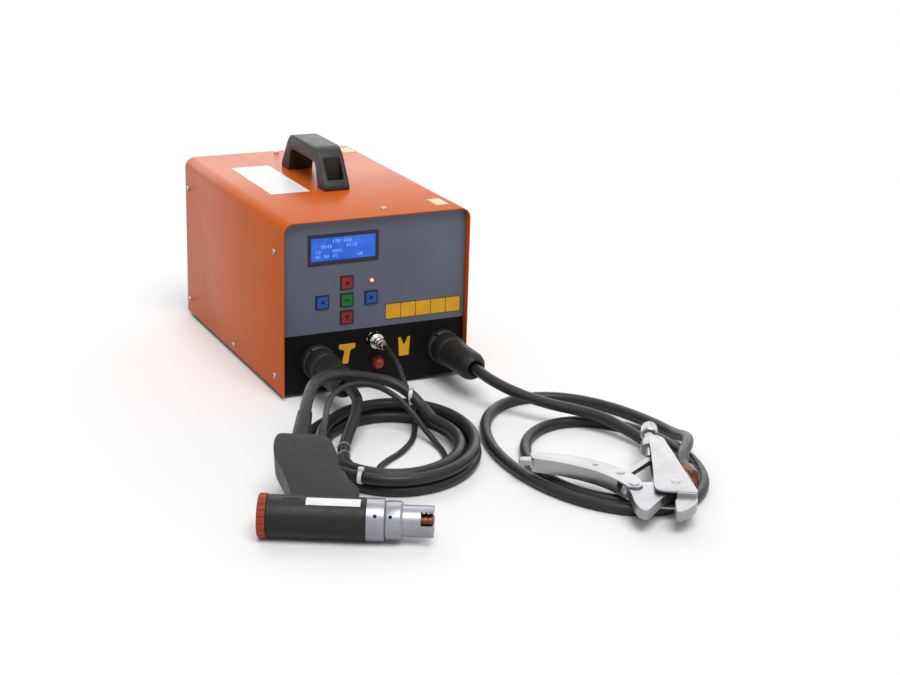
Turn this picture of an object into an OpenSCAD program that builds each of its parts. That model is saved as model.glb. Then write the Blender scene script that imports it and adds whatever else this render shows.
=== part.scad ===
// Bench stud welder: sheet-metal power case with its stud gun, earth clamp and welding cables.
// Frame: origin on the floor under the middle of the case, +X to the right seen from the front,
// +Y towards the back, +Z up. Millimetres.

/* [Case] */
// Outside width of the cover
case_w = 260; // [230:1:300]
// Depth of the cover from its front edge to its rear edge
case_d = 400; // [390:1:440]
// Height of the cover from its lower edge to its top
case_h = 229; // [225:1:250]
// Sheet thickness of the cover
cover_t = 1.5; // [1:0.1:2]
// Outside radius of the cover's two top bends
cover_r = 14; // [10:1:20]
// Slip gap between the cover and the chassis inside it
cover_gap = 0.4; // [0.2:0.1:0.6]
// Height of the rubber feet
foot_h = 6; // [5:0.5:9]
// Radius of a rubber foot
foot_r = 14; // [10:0.5:18]
// Distance of the feet's middles from the case's sides
foot_in_x = 34; // [30:1:60]
// Distance of the feet's middles from the case's front and back
foot_in_y = 50; // [42:1:80]

/* [Chassis] */
// Thickness of the base pan
pan_t = 1.5; // [1:0.1:2.5]
// Height of the base pan's side flanges
pan_flange = 24; // [20:1:34]
// Sheet thickness of the front and rear panels
panel_t = 2; // [1.5:0.1:2.5]
// How far the front panel sits behind the cover's front edge
panel_recess = 10; // [6:0.5:14]
// How far the rear panel sits inside the cover's rear edge
rear_recess = 1; // [0:0.5:4]
// Depth of the front panel's folded flanges
front_flange = 34; // [30:1:40]
// Depth of the rear panel's folded flanges
rear_flange = 20; // [16:1:26]
// Thickness of the grey fascia plate
fascia_t = 1; // [0.6:0.1:1.6]
// Height of the fascia's lower edge above the cover's lower edge
fascia_z = 78; // [74:0.5:82]

/* [Screws] */
// Radius of the M4 screw shanks
screw_r = 2; // [1.8:0.1:2.2]
// Radius of the pan heads
head_r = 4; // [3.4:0.1:4.6]
// Height of the pan heads
head_h = 2.4; // [1.8:0.1:2.8]
// Length of the M4 shanks
screw_l = 8; // [6:0.5:10]
// Clearance round a shank in a drilled hole
hole_gap = 0.3; // [0.15:0.05:0.5]
// Clearance round a shank in a tapped hole
thread_gap = 0.05; // [0.03:0.01:0.1]
// Height of the corner screws above the cover's lower edge, lower row
screw_low = 20; // [18:0.5:24]
// Distance of the upper corner screws below the cover's top
screw_drop = 43; // [37:0.5:49]
// Height of the middle screw of the base pan
screw_pan = 10; // [8:0.5:14]
// Distance of the front screws from the front panel's face
front_screw = 22; // [18:0.5:26]
// Distance of the rear screws from the rear panel's face
rear_screw = 10; // [8:0.5:12]

/* [Carry handle] */
// Overall length of the handle
handle_l = 164; // [150:1:180]
// Width of the handle
handle_w = 36; // [32:1:42]
// Height of the handle above the cover
handle_h = 53; // [46:1:60]
// Thickness of the grip bar
handle_bar = 20; // [16:0.5:24]
// Length of each foot on the cover
handle_foot = 42; // [38:0.5:46]
// Thickness of the floor under each handle screw
handle_floor = 6; // [4:0.5:8]
// Distance of the handle's middle behind the case's middle
handle_y = 23; // [0:1:40]
// Radius of the handle screws
handle_screw_r = 3; // [2.5:0.1:3.5]

/* [Controls] */
// Fascia height that the display and key heights and sizes below are drawn for
fascia_drawn = 151; // [148:0.5:154]
// Middle of the display, to the side
lcd_x = -45; // [-50:0.5:-40]
// Middle of the display above the fascia's lower edge
lcd_rise = 110.5; // [109:0.5:112]
// Width of the display bezel
lcd_w = 97; // [92:0.5:100]
// Height of the display bezel
lcd_drawn_h = 40; // [36:0.5:42]
// Border round the display window
lcd_border = 4; // [3:0.25:5]
// How far the bezel stands proud of the fascia
lcd_proud = 1; // [0.5:0.1:2]
// Thickness of the display window
glass_t = 1.4; // [1:0.1:2]
// Middle of the key cross, to the side
keys_x = -40; // [-44:0.5:-36]
// Middle of the key cross above the fascia's lower edge
keys_rise = 41; // [39:0.5:43]
// Side of a square key
key_drawn = 18.2; // [16:0.1:19]
// Step of the keys up and down
key_drawn_step = 23.3; // [23:0.1:24]
// Step of the keys to the side
key_step_x = 34; // [30:0.5:38]
// How far a key stands proud of the fascia
key_proud = 1.6; // [1:0.1:2.5]
// Travel of a key
key_travel = 0.6; // [0.3:0.1:1]
// Gap round a key in the panel
key_gap = 0.3; // [0.2:0.05:0.5]
// Distance from the panel's back to the control board
board_gap = 12; // [10:0.5:14]
// Thickness of the control board
board_t = 1.6; // [1:0.1:2]
// Radius of the status lamp
led_r = 2.5; // [2:0.1:3]
// Middle of the push button, to the side
button_x = 4; // [2:0.5:8]
// Middle of the push button above the cover's lower edge
button_z = 29; // [26:0.5:32]
// Radius of the push button
button_r = 7.3; // [6:0.1:8]
// Travel of the push button
button_travel = 2; // [1:0.25:3]

/* [Connectors] */
// Distance of the gun's weld socket from the case's left side
gun_socket_in = 50; // [46:0.5:54]
// Distance of the earth weld socket from the case's right side
earth_socket_in = 32; // [31:0.5:36]
// Height of the weld sockets above the cover's lower edge
socket_z = 40; // [38:0.5:42]
// Radius of a weld socket's flange
socket_r = 23; // [21:0.5:25]
// Thickness of a weld socket's flange
socket_t = 10; // [7:0.5:13]
// Radius of the weld socket's body behind the panel
socket_neck_r = 17; // [15:0.5:18.5]
// Radius of the plug pin
pin_r = 6.5; // [5:0.1:7]
// Sliding clearance of the plug pin in its socket
pin_gap = 0.1; // [0.05:0.05:0.2]
// Length of a weld plug's rubber sleeve
plug_l = 90; // [84:1:92]
// Radius of the plug's collar
plug_r = 21.5; // [19:0.5:23]
// Side position of the control socket
control_x = -2; // [-6:0.5:2]
// Height of the control socket above the cover's lower edge
control_z = 62; // [60:0.5:64]
// Radius of the control socket's thread
control_r = 8; // [7:0.25:9]

/* [Cables] */
// Radius of the welding cables
cable_r = 7; // [6:0.25:7]
// Radius of the control cable
control_cable_r = 3.5; // [2.5:0.25:3.5]
// Gap left between neighbouring turns of the gun's coil
turn_gap = 1; // [0.8:0.1:1.5]

/* [Stud gun] */
// Length of the rear adjuster cap
cap_l = 9.5; // [7:0.5:12]
// Length of the barrel
barrel_l = 105; // [104:1:112]
// Length of the aluminium collar
collar_l = 19.5; // [16:0.5:22]
// Length of the aluminium nose ring
nose_l = 19; // [16:0.5:22]
// Length of the slotted tube in front of the nose
tube_l = 33; // [30:0.5:38]
// Radius of the rear cap
cap_r = 24; // [23.5:0.25:25]
// Radius of the barrel
barrel_r = 23; // [22:0.25:23.5]
// Wall of the barrel and grip
shell_t = 3; // [2.5:0.1:3.5]
// Radius of the nose ring
nose_r = 21; // [20:0.25:22.5]
// Radius of the slotted tube
tube_r = 17; // [16:0.25:18]
// Wall of the slotted tube
tube_t = 3; // [2:0.1:3.5]
// Thickness of the grip
grip_t = 32; // [28:0.5:36]
// Distance of the grip's end from the barrel's axis
grip_end = 118; // [112:1:122]
// Radius of the plunger rod
rod_r = 6; // [5:0.1:7]
// Running clearance of the rod in the collar
rod_gap = 0.05; // [0.03:0.01:0.1]
// Stroke of the plunger
stroke = 8; // [4:0.5:9]
// Radius of the chuck
chuck_r = 9; // [7.5:0.25:10]
// Radius of the bore that takes the studs
stud_r = 4; // [2:0.25:5]
// Depth of the stud bore
stud_depth = 14; // [10:0.5:18]
// Travel of the trigger
trigger_travel = 4; // [2:0.5:5]
// Clearance round the trigger
trigger_gap = 0.4; // [0.3:0.05:0.6]
// Length of the cable boot
boot_l = 56; // [44:1:58]
// Radius of the cable boot
boot_r = 11; // [9:0.5:12]

/* [Earth clamp] */
// Sheet thickness of the clamp
clamp_t = 2; // [1.5:0.1:2.5]
// Thickness of the jaws
jaw_t = 12; // [10:0.5:12.5]
// Clearance between the jaw and the lever's cheeks, and between lever and handle
cheek_gap = 0.5; // [0.3:0.05:0.8]
// Radius of the pivot rivets
rivet_r = 4; // [3:0.1:4.5]
// Running clearance of the rivets
rivet_gap = 0.05; // [0.03:0.01:0.1]
// Radius of the adjusting screw
adjuster_r = 4; // [3:0.1:4.5]
// Radius of the adjusting screw's knob
knob_r = 10; // [8:0.25:10.5]

/* [Hidden] */
$fn = 48;

// Levels and planes of the case
front_y = -case_d / 2;
panel_y = front_y + panel_recess;
panel_back = panel_y + panel_t;
fascia_y = panel_y - fascia_t;
rear_y = case_d / 2 - rear_recess;
rear_in = rear_y - panel_t;
tray_w = case_w - 2 * (cover_t + cover_gap);
pan_top = foot_h + pan_t;
tray_top = foot_h + case_h - cover_t - cover_gap;
tray_h = tray_top - pan_top;
tray_r = cover_r - cover_t - cover_gap;
case_top = foot_h + case_h;
foot_x = case_w / 2 - foot_in_x;
foot_y = case_d / 2 - foot_in_y;
screw_high = case_h - screw_drop;
gun_socket_x = -case_w / 2 + gun_socket_in;
earth_socket_x = case_w / 2 - earth_socket_in;
fascia_scale = (case_h - fascia_z) / fascia_drawn;
lcd_z = fascia_z + lcd_rise * fascia_scale;
lcd_h = lcd_drawn_h * fascia_scale;
keys_z = fascia_z + keys_rise * fascia_scale;
key_size = key_drawn * fascia_scale;
key_step_z = key_drawn_step * fascia_scale;
board_y = panel_back + board_gap;
front_screw_y = panel_y + front_screw;
rear_screw_y = rear_y - rear_screw;
pan_screw_y = -6;
tapped_r = screw_r + thread_gap;
drilled_r = screw_r + hole_gap;
flat_gap = 0.3;

// Heights on the front panel are measured from the cover's lower edge
function up(z) = foot_h + z;

// Screws: each is a place on the cover's left, right or top
side_screws = [[front_screw_y, screw_low], [front_screw_y, screw_high], [rear_screw_y, screw_low],
    [rear_screw_y, screw_high], [pan_screw_y, screw_pan]];
top_screws = [[20, front_screw_y], [5, rear_screw_y]];
chassis_screw_x = [-90, 0, 90];
handle_ends = [-1, 1];
handle_screw_inset = 17;

module along_y(y0, y1) {
    translate([0, y1, 0]) rotate([90, 0, 0]) linear_extrude(y1 - y0) children();
}

module rod_y(x, z, y0, y1, r) {
    translate([x, y1, z]) rotate([90, 0, 0]) cylinder(r = r, h = y1 - y0);
}

module block(x0, x1, y0, y1, z0, z1) {
    translate([x0, y0, z0]) cube([x1 - x0, y1 - y0, z1 - z0]);
}

// Upright sheet outline with two rounded top corners
module arch(w, h, r) {
    translate([-w / 2, 0]) square([w, h - r]);
    translate([-w / 2 + r, 0]) square([w - 2 * r, h]);
    for (side = [-1, 1]) translate([side * (w / 2 - r), h - r]) circle(r);
}

module cover() color("darkorange") difference() {
    along_y(front_y, -front_y) translate([0, foot_h]) difference() {
        arch(case_w, case_h, cover_r);
        translate([0, -1]) arch(case_w - 2 * cover_t, case_h - cover_t + 1, cover_r - cover_t);
    }
    for (s = side_screws) translate([0, s[0], up(s[1])]) rotate([0, 90, 0])
        cylinder(r = drilled_r, h = case_w + 2, center = true);
    for (s = top_screws) translate([s[0], s[1], case_top]) cylinder(r = drilled_r, h = 20, center = true);
    for (e = handle_ends) translate([0, handle_screw_y(e), case_top])
        cylinder(r = handle_screw_r + hole_gap, h = 20, center = true);
}

// Vent slots cut through the base pan
vent_w = 60;
vent_slot = 5;
vent_step = 12;
vent_count = 6;
vent_y = panel_y + 60;
foot_screw_top = foot_h - 2.5;

module base_pan() color("dimgray") difference() {
    union() {
        block(-tray_w / 2, tray_w / 2, panel_y, rear_y, foot_h, pan_top);
        for (side = [-1, 1]) translate([side * (tray_w - panel_t) / 2, 0, 0])
            block(-panel_t / 2, panel_t / 2, panel_y + front_flange + flat_gap,
                rear_y - rear_flange - flat_gap, foot_h, foot_h + pan_flange);
    }
    for (side = [-1, 1]) translate([side * tray_w / 2, pan_screw_y, up(screw_pan)]) rotate([0, 90, 0])
        cylinder(r = tapped_r, h = 20, center = true);
    for (x = chassis_screw_x) for (y = [front_screw_y, rear_screw_y]) translate([x, y, foot_h])
        cylinder(r = drilled_r, h = 20, center = true);
    for (sx = [-1, 1]) for (sy = [-1, 1]) translate([sx * foot_x, sy * foot_y, foot_h])
        cylinder(r = tapped_r, h = 20, center = true);
    for (i = [0 : vent_count - 1]) translate([0, vent_y + i * vent_step, 0])
        block(-vent_w / 2, vent_w / 2, 0, vent_slot, foot_h - 1, pan_top + 1);
}

// Folded tray with flanges on all four sides
module tray(y0, y1, in0, in1) {
    translate([0, 0, pan_top]) difference() {
        along_y(y0, y1) arch(tray_w, tray_h, tray_r);
        along_y(in0, in1) translate([0, panel_t])
            arch(tray_w - 2 * panel_t, tray_h - 2 * panel_t, tray_r - panel_t);
    }
}

module flange_holes(y, x_top) {
    for (z = [screw_low, screw_high]) translate([0, y, up(z)]) rotate([0, 90, 0])
        cylinder(r = tapped_r, h = case_w, center = true);
    translate([x_top, y, tray_top]) cylinder(r = tapped_r, h = 20, center = true);
    for (x = chassis_screw_x) translate([x, y, pan_top]) cylinder(r = tapped_r, h = 20, center = true);
}

// Places of the five keys on the front panel
key_up_at = [keys_x, keys_z + key_step_z];
key_ok_at = [keys_x, keys_z];
key_down_at = [keys_x, keys_z - key_step_z];
key_left_at = [keys_x - key_step_x, keys_z];
key_right_at = [keys_x + key_step_x, keys_z];
keys = [key_up_at, key_ok_at, key_down_at, key_left_at, key_right_at];
led_at = [keys_x + key_step_x, keys_z + key_step_z];

// Control board outline, from the lowest key to the display
board_edge = 4;
board_x0 = lcd_x - lcd_w / 2 - board_edge;
board_x1 = lcd_x + lcd_w / 2 + board_edge;
board_z0 = keys_z - key_step_z - key_size / 2 - board_edge;
board_z1 = lcd_z + lcd_h / 2 + board_edge;
stud_post_r = 3;
posts = [for (x = [board_x0 + board_edge, board_x1 - board_edge])
    for (z = [board_z0 + board_edge, keys_z + key_step_z + key_size / 2 - board_edge]) [x, z]];

module panel_square(at, half, y0, y1) {
    block(at[0] - half, at[0] + half, y0, y1, up(at[1]) - half, up(at[1]) + half);
}

module control_windows(y0, y1) {
    block(lcd_x - lcd_w / 2 - key_gap, lcd_x + lcd_w / 2 + key_gap, y0, y1,
        up(lcd_z) - lcd_h / 2 - key_gap, up(lcd_z) + lcd_h / 2 + key_gap);
    for (k = keys) panel_square(k, key_size / 2 + key_gap, y0, y1);
    rod_y(led_at[0], up(led_at[1]), y0, y1, led_r + thread_gap);
}

button_neck_r = button_r - 1.3;
socket_xs = [gun_socket_x, earth_socket_x];

module front_panel() color([0.05, 0.05, 0.05]) {
    difference() {
        tray(panel_y, panel_y + front_flange, panel_back, panel_y + front_flange + 1);
        flange_holes(front_screw_y, top_screws[0][0]);
        control_windows(panel_y - 1, panel_back + 1);
        for (x = socket_xs) rod_y(x, up(socket_z), panel_y - 1, panel_back + 1, socket_neck_r + hole_gap);
        rod_y(control_x, up(control_z), panel_y - 1, panel_back + 1, control_r + hole_gap);
        rod_y(button_x, up(button_z), panel_y - 1, panel_back + 1, button_neck_r + hole_gap);
    }
    for (p = posts) rod_y(p[0], up(p[1]), panel_back, board_y, stud_post_r);
}

fascia_margin = 0.6;

module fascia() color("slategray") difference() {
    intersection() {
        translate([0, 0, pan_top]) along_y(fascia_y, panel_y)
            arch(tray_w - 2 * fascia_margin, tray_h - fascia_margin, tray_r - fascia_margin);
        block(-case_w, case_w, fascia_y - 1, panel_y + 1, up(fascia_z), case_top);
    }
    control_windows(fascia_y - 1, panel_y + 1);
}

// Rear panel: fan grille, mains inlet and switch
fan_z = 118;
fan_size = 92;
fan_side = 18.1;
fan_x = tray_w / 2 - panel_t - fan_side - fan_size / 2;
fan_depth = 25;
grille_slot = 4;
grille_step = 9;
grille_r = fan_size / 2 - 5;
inlet_z = 48;
inlet_w = 27;
inlet_side = 37.6;
inlet_x = -tray_w / 2 + panel_t + inlet_side + inlet_w / 2;
inlet_h = 20;
inlet_wall = 3;
switch_x = inlet_x;
switch_z = 100;
switch_w = 21;
switch_h = 27;
fan_hole = fan_size / 2 - 5;

module rear_panel() color([0.07, 0.07, 0.07]) difference() {
    tray(rear_y - rear_flange, rear_y, rear_y - rear_flange - 1, rear_in);
    flange_holes(rear_screw_y, top_screws[1][0]);
    for (z = [-4 : 4]) let (reach = sqrt(pow(grille_r, 2) - pow(z * grille_step, 2)))
        block(fan_x - reach, fan_x + reach, rear_in - 1, rear_y + 1,
            up(fan_z) + z * grille_step - grille_slot / 2, up(fan_z) + z * grille_step + grille_slot / 2);
    block(inlet_x - inlet_w / 2 - flat_gap, inlet_x + inlet_w / 2 + flat_gap, rear_in - 1, rear_y + 1,
        up(inlet_z) - inlet_h / 2 - flat_gap, up(inlet_z) + inlet_h / 2 + flat_gap);
    block(switch_x - switch_w / 2 - flat_gap, switch_x + switch_w / 2 + flat_gap, rear_in - 1, rear_y + 1,
        up(switch_z) - switch_h / 2 - flat_gap, up(switch_z) + switch_h / 2 + flat_gap);
}

// Pan-head screw with its head above the origin and its shank below
module pan_screw() {
    cylinder(r = head_r, h = head_h);
    translate([0, 0, -screw_l]) cylinder(r = screw_r, h = screw_l + 0.5);
}

nut_h = 5;
handle_head_h = 4;
handle_shank = handle_floor + cover_t + nut_h + 1;

module handle_screw() {
    cylinder(r = handle_screw_r * 1.7, h = handle_head_h);
    translate([0, 0, -handle_shank]) cylinder(r = handle_screw_r, h = handle_shank + 0.5);
}

function handle_screw_y(e) = handle_y + e * (handle_l / 2 - handle_screw_inset);

module case_screws() {
    for (s = side_screws) for (side = [-1, 1]) translate([side * case_w / 2, s[0], up(s[1])])
        rotate([0, side * 90, 0]) pan_screw();
    for (s = top_screws) translate([s[0], s[1], case_top]) pan_screw();
    for (x = chassis_screw_x) for (y = [front_screw_y, rear_screw_y]) translate([x, y, foot_h])
        rotate([180, 0, 0]) pan_screw();
    for (sx = [-1, 1]) for (sy = [-1, 1]) translate([sx * foot_x, sy * foot_y, foot_screw_top])
        rotate([180, 0, 0]) pan_screw();
    for (e = handle_ends) translate([0, handle_screw_y(e), case_top + handle_floor]) handle_screw();
    for (e = handle_ends) translate([0, handle_screw_y(e), case_top - cover_t - nut_h]) difference() {
        cylinder(r = handle_screw_r * 1.9, h = nut_h, $fn = 6);
        translate([0, 0, -1]) cylinder(r = handle_screw_r + thread_gap, h = nut_h + 2);
    }
}

foot_recess_r = head_r + 1;

module feet() color([0.1, 0.1, 0.1]) {
    for (sx = [-1, 1]) for (sy = [-1, 1]) translate([sx * foot_x, sy * foot_y, 0]) difference() {
        cylinder(r1 = foot_r - 1.5, r2 = foot_r, h = foot_h);
        translate([0, 0, -1]) cylinder(r = foot_recess_r, h = foot_screw_top + 1);
        cylinder(r = drilled_r, h = 3 * foot_h, center = true);
    }
}

// Bridge handle: side outline from the rear foot to the front foot
handle_slope = 26;
handle_top = 38;
handle_toe = 6;
handle_shoulder = 8;
handle_leg = 10;
handle_pocket_w = 12;

module handle_half() {
    polygon([[0, 0], [0, handle_toe], [handle_slope, handle_h - handle_shoulder],
        [handle_top, handle_h], [handle_l / 2, handle_h], [handle_l / 2, handle_h - handle_bar],
        [handle_foot + handle_leg, handle_h - handle_bar], [handle_foot, 0]]);
}

module carry_handle() color([0.08, 0.08, 0.08]) translate([0, handle_y, case_top]) difference() {
    for (e = handle_ends) rotate([0, 0, e > 0 ? 180 : 0]) translate([-handle_w / 2, -handle_l / 2, 0])
        rotate([90, 0, 90]) linear_extrude(handle_w) handle_half();
    for (e = handle_ends) translate([0, e * (handle_l / 2 - handle_screw_inset), 0]) {
        translate([0, 0, -1]) cylinder(r = handle_screw_r + hole_gap, h = handle_h);
        block(-handle_pocket_w, handle_pocket_w, -handle_pocket_w, handle_pocket_w - 1,
            handle_floor, handle_h + 1);
    }
}

glass_seat = 1;
glass_gap = 0.2;

module lcd_bezel() color([0.05, 0.05, 0.06]) difference() {
    block(lcd_x - lcd_w / 2, lcd_x + lcd_w / 2, fascia_y - lcd_proud, board_y,
        up(lcd_z) - lcd_h / 2, up(lcd_z) + lcd_h / 2);
    block(lcd_x - lcd_w / 2 + lcd_border, lcd_x + lcd_w / 2 - lcd_border, fascia_y - lcd_proud - 1,
        fascia_y - lcd_proud + glass_seat + glass_t,
        up(lcd_z) - lcd_h / 2 + lcd_border + 1, up(lcd_z) + lcd_h / 2 - lcd_border);
}

module lcd_glass() color("royalblue")
    block(lcd_x - lcd_w / 2 + lcd_border + glass_gap, lcd_x + lcd_w / 2 - lcd_border - glass_gap,
        fascia_y - lcd_proud + glass_seat, fascia_y - lcd_proud + glass_seat + glass_t,
        up(lcd_z) - lcd_h / 2 + lcd_border + 1 + glass_gap, up(lcd_z) + lcd_h / 2 - lcd_border - glass_gap);

module control_board() color("darkgreen")
    block(board_x0, board_x1, board_y, board_y + board_t, up(board_z0), up(board_z1));

// Key: cap through the panel, retaining flange behind it and a stem into its switch
key_flange = 1.2;
key_flange_t = 1.3;
key_stem_r = 3;
key_stem_gap = 0.05;
switch_side = 12;
switch_body_h = 6;
key_stem_in = 3;
switch_y = board_y - switch_body_h;

module key_switches() color([0.15, 0.15, 0.15]) for (k = keys) difference() {
    panel_square(k, switch_side / 2, switch_y, board_y);
    rod_y(k[0], up(k[1]), switch_y - 1, switch_y + key_stem_in + key_travel + 0.5,
        key_stem_r + key_stem_gap);
}

module key(at) {
    panel_square(at, key_size / 2, fascia_y - key_proud, panel_back + key_stem_gap);
    panel_square(at, key_size / 2 + key_flange, panel_back + key_stem_gap, panel_back + key_flange_t);
    rod_y(at[0], up(at[1]), panel_back, switch_y + key_stem_in, key_stem_r);
}

module key_up() color("firebrick") key(key_up_at);
module key_ok() color("seagreen") key(key_ok_at);
module key_down() color("firebrick") key(key_down_at);
module key_left() color("steelblue") key(key_left_at);
module key_right() color("steelblue") key(key_right_at);

led_proud = 1.5;
led_leg_r = 0.4;
led_leg_step = 1.27;

module status_led() color("tomato") {
    rod_y(led_at[0], up(led_at[1]), fascia_y - led_proud, panel_back, led_r);
    translate([led_at[0], fascia_y - led_proud, up(led_at[1])]) sphere(r = led_r);
    rod_y(led_at[0], up(led_at[1]), panel_back, panel_back + 1.5, led_r + 0.6);
    for (side = [-1, 1])
        rod_y(led_at[0] + side * led_leg_step, up(led_at[1]), panel_back + 1, board_y, led_leg_r);
}

// Push button: bezel and switch body through the panel, with the red cap sliding in it
bezel_t = 4;
bezel_r = button_r + 2;
button_depth = 26;
button_dome = 5;
button_slide = 0.1;
button_seat = 1;
button_stem_r = 3;
button_dome_y = panel_y - bezel_t - button_dome + button_r / 2;

module button_body() color("silver") difference() {
    union() {
        rod_y(button_x, up(button_z), panel_y - bezel_t, panel_y, bezel_r);
        rod_y(button_x, up(button_z), panel_y - 1, panel_back + button_depth, button_neck_r);
        rod_y(button_x, up(button_z), panel_back, panel_back + 3, bezel_r);
    }
    rod_y(button_x, up(button_z), panel_y - bezel_t - 1, panel_y - button_seat, button_r + button_slide);
    rod_y(button_x, up(button_z), panel_y - 2, panel_y + 10, button_stem_r + key_stem_gap);
}

module push_button() color("red") {
    rod_y(button_x, up(button_z), button_dome_y, panel_y - button_seat - button_travel - 0.2, button_r);
    intersection() {
        translate([button_x, button_dome_y, up(button_z)]) sphere(r = button_r);
        rod_y(button_x, up(button_z), button_dome_y - button_r, button_dome_y + 1, button_r);
    }
    rod_y(button_x, up(button_z), panel_y - bezel_t, panel_y + 6, button_stem_r);
}

// Weld sockets: insulating flange and body, with a brass contact that the plug pin slides into
socket_depth = 30;
socket_nut_r = 22;
socket_nut_t = 8;
contact_r = 11;
contact_back = 12;
contact_stud_r = 5;
contact_stud_l = 26;
flange_front = panel_y - socket_t;

module weld_sockets() color([0.12, 0.12, 0.12]) for (x = socket_xs) difference() {
    union() {
        rod_y(x, up(socket_z), flange_front, panel_y, socket_r);
        rod_y(x, up(socket_z), panel_y - 1, panel_back + socket_depth, socket_neck_r);
        rod_y(x, up(socket_z), panel_back, panel_back + socket_nut_t, socket_nut_r);
    }
    rod_y(x, up(socket_z), flange_front - 1, panel_back + socket_depth + 1, contact_r + pin_gap);
}

plug_y = flange_front - flat_gap;
pin_in = 34;
pin_seat = 24;
pin_seat_r = 10;

module weld_contacts() color("goldenrod") for (x = socket_xs) {
    difference() {
        union() {
            rod_y(x, up(socket_z), flange_front + 2, panel_back + socket_depth + contact_back, contact_r);
            rod_y(x, up(socket_z), panel_back + socket_depth, panel_back + socket_depth + contact_stud_l,
                contact_stud_r);
        }
        rod_y(x, up(socket_z), flange_front - 1, plug_y + pin_in + 2, pin_r + pin_gap);
    }
    rod_y(x, up(socket_z), plug_y - pin_seat, plug_y, pin_seat_r);
    rod_y(x, up(socket_z), plug_y - 1, plug_y + pin_in, pin_r);
}

// Weld plug: turned outline from the collar at the socket to the cable end
plug_collar = 22;
plug_waist = 2;
plug_seam = 27;
plug_seam_w = 2;
plug_seam_depth = 1.6;
plug_tail_r = cable_r + 4;
plug_waist_r = plug_r - plug_waist;
plug_round = plug_waist_r - plug_tail_r;
plug_end_y = plug_y - plug_l;

module plug_outline() {
    difference() {
        polygon(concat([[0, 0], [plug_r, 0], [plug_r, plug_collar], [plug_waist_r, plug_collar + plug_waist]],
            [for (a = [0 : 22.5 : 90])
                [plug_tail_r + plug_round * cos(a), plug_l - plug_round * (1 - sin(a))]],
            [[0, plug_l]]));
        translate([plug_waist_r - plug_seam_depth, plug_l - plug_seam])
            square([plug_seam_depth + 1, plug_seam_w]);
        translate([-1, -1]) square([pin_seat_r + pin_gap + 1, pin_seat + 1]);
    }
}

module weld_plug(x) {
    translate([x, plug_y, up(socket_z)]) rotate([90, 0, 0]) rotate_extrude() plug_outline();
}

module gun_plug() color([0.1, 0.1, 0.1]) weld_plug(gun_socket_x);
module earth_plug() color([0.1, 0.1, 0.1]) weld_plug(earth_socket_x);

// Multi-pin control socket with its round metal plug
control_thread = 8;
control_nut_t = 3;
control_nut_r = control_r + 2.5;
control_depth = 14;
ring_l = 14;
ring_wall = 2;
shell_l = 14;
gland_l = 9;
control_plug_y = panel_y - control_thread - 1;
control_end_y = control_plug_y - ring_l + control_thread - shell_l - gland_l;

module control_socket() color("lightgray") difference() {
    union() {
        rod_y(control_x, up(control_z), panel_y - control_thread, panel_back + control_depth, control_r);
        rod_y(control_x, up(control_z), panel_y - control_nut_t, panel_y, control_nut_r);
        rod_y(control_x, up(control_z), panel_back, panel_back + control_nut_t, control_nut_r);
    }
    rod_y(control_x, up(control_z), panel_y - control_thread - 1, panel_y - 2, control_r - 1.5);
}

module control_plug() color("lightgray") {
    difference() {
        rod_y(control_x, up(control_z), control_plug_y - ring_l + control_thread,
            panel_y - control_nut_t - flat_gap, control_r + ring_wall);
        rod_y(control_x, up(control_z), control_plug_y, panel_y, control_r + pin_gap);
    }
    rod_y(control_x, up(control_z), control_plug_y - 0.5, panel_y - 4, control_r - 2);
    rod_y(control_x, up(control_z), control_plug_y - ring_l + control_thread - shell_l,
        control_plug_y - ring_l + control_thread, control_r - 1);
    rod_y(control_x, up(control_z), control_end_y, control_end_y + gland_l, control_r - 2.5);
}

// Power parts inside the case
core_w = 88;
core_d = 44;
core_h = 74;
core_leg = 15;
coil_wall = 13;
coil_gap = 0.5;
core_foot = 6;
core_foot_t = 3;
core_side = 10.1;
core_clear = 5;
contact_end = panel_back + socket_depth + contact_stud_l;
core_at = [-tray_w / 2 + panel_t + core_side + core_foot + core_w / 2,
    contact_end + core_clear + coil_wall + core_d / 2];
core_back = core_at[1] + core_d / 2 + coil_wall;
sink_w = 64;
sink_d = 130;
sink_side = 12.1;
sink_clear = 17;
sink_at = [tray_w / 2 - panel_t - sink_side - sink_w / 2, contact_end + sink_clear + sink_d / 2];

// Capacitors stand in three rows of three, as large as the width beside the heat sink and the depth allow
can_h = 100;
can_gap = 3;
can_side = 5.6;
can_front = 25.5;
can_back = 44.5;
can_sink = 11.5;
can_wide = sink_at[0] - sink_w / 2 - can_sink + tray_w / 2 - panel_t - can_side;
can_deep = rear_in - fan_depth - can_back - core_back - can_front;
can_pitch = (min(can_wide, can_deep) + can_gap) / 3;
can_r = (can_pitch - can_gap) / 2;
can_xs = [for (i = [0 : 2]) -tray_w / 2 + panel_t + can_side + can_r + i * can_pitch];
can_ys = [for (i = [0 : 2]) core_back + can_front + can_r + i * can_pitch];
terminal_r = can_r * 0.2;
terminal_h = 5;
terminal_step = can_r * 0.43;
bar_w = can_r * 0.55;
bar_t = 3;
bar_end = 38;
bar_cross = 12;
bar_z = pan_top + can_h + terminal_h;

module capacitors() color("cornflowerblue") for (x = can_xs) for (y = can_ys) translate([x, y, pan_top]) {
    cylinder(r = can_r, h = can_h);
    for (side = [-1, 1]) translate([side * terminal_step, 0, can_h - 0.5])
        cylinder(r = terminal_r, h = terminal_h + 0.5);
}

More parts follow.
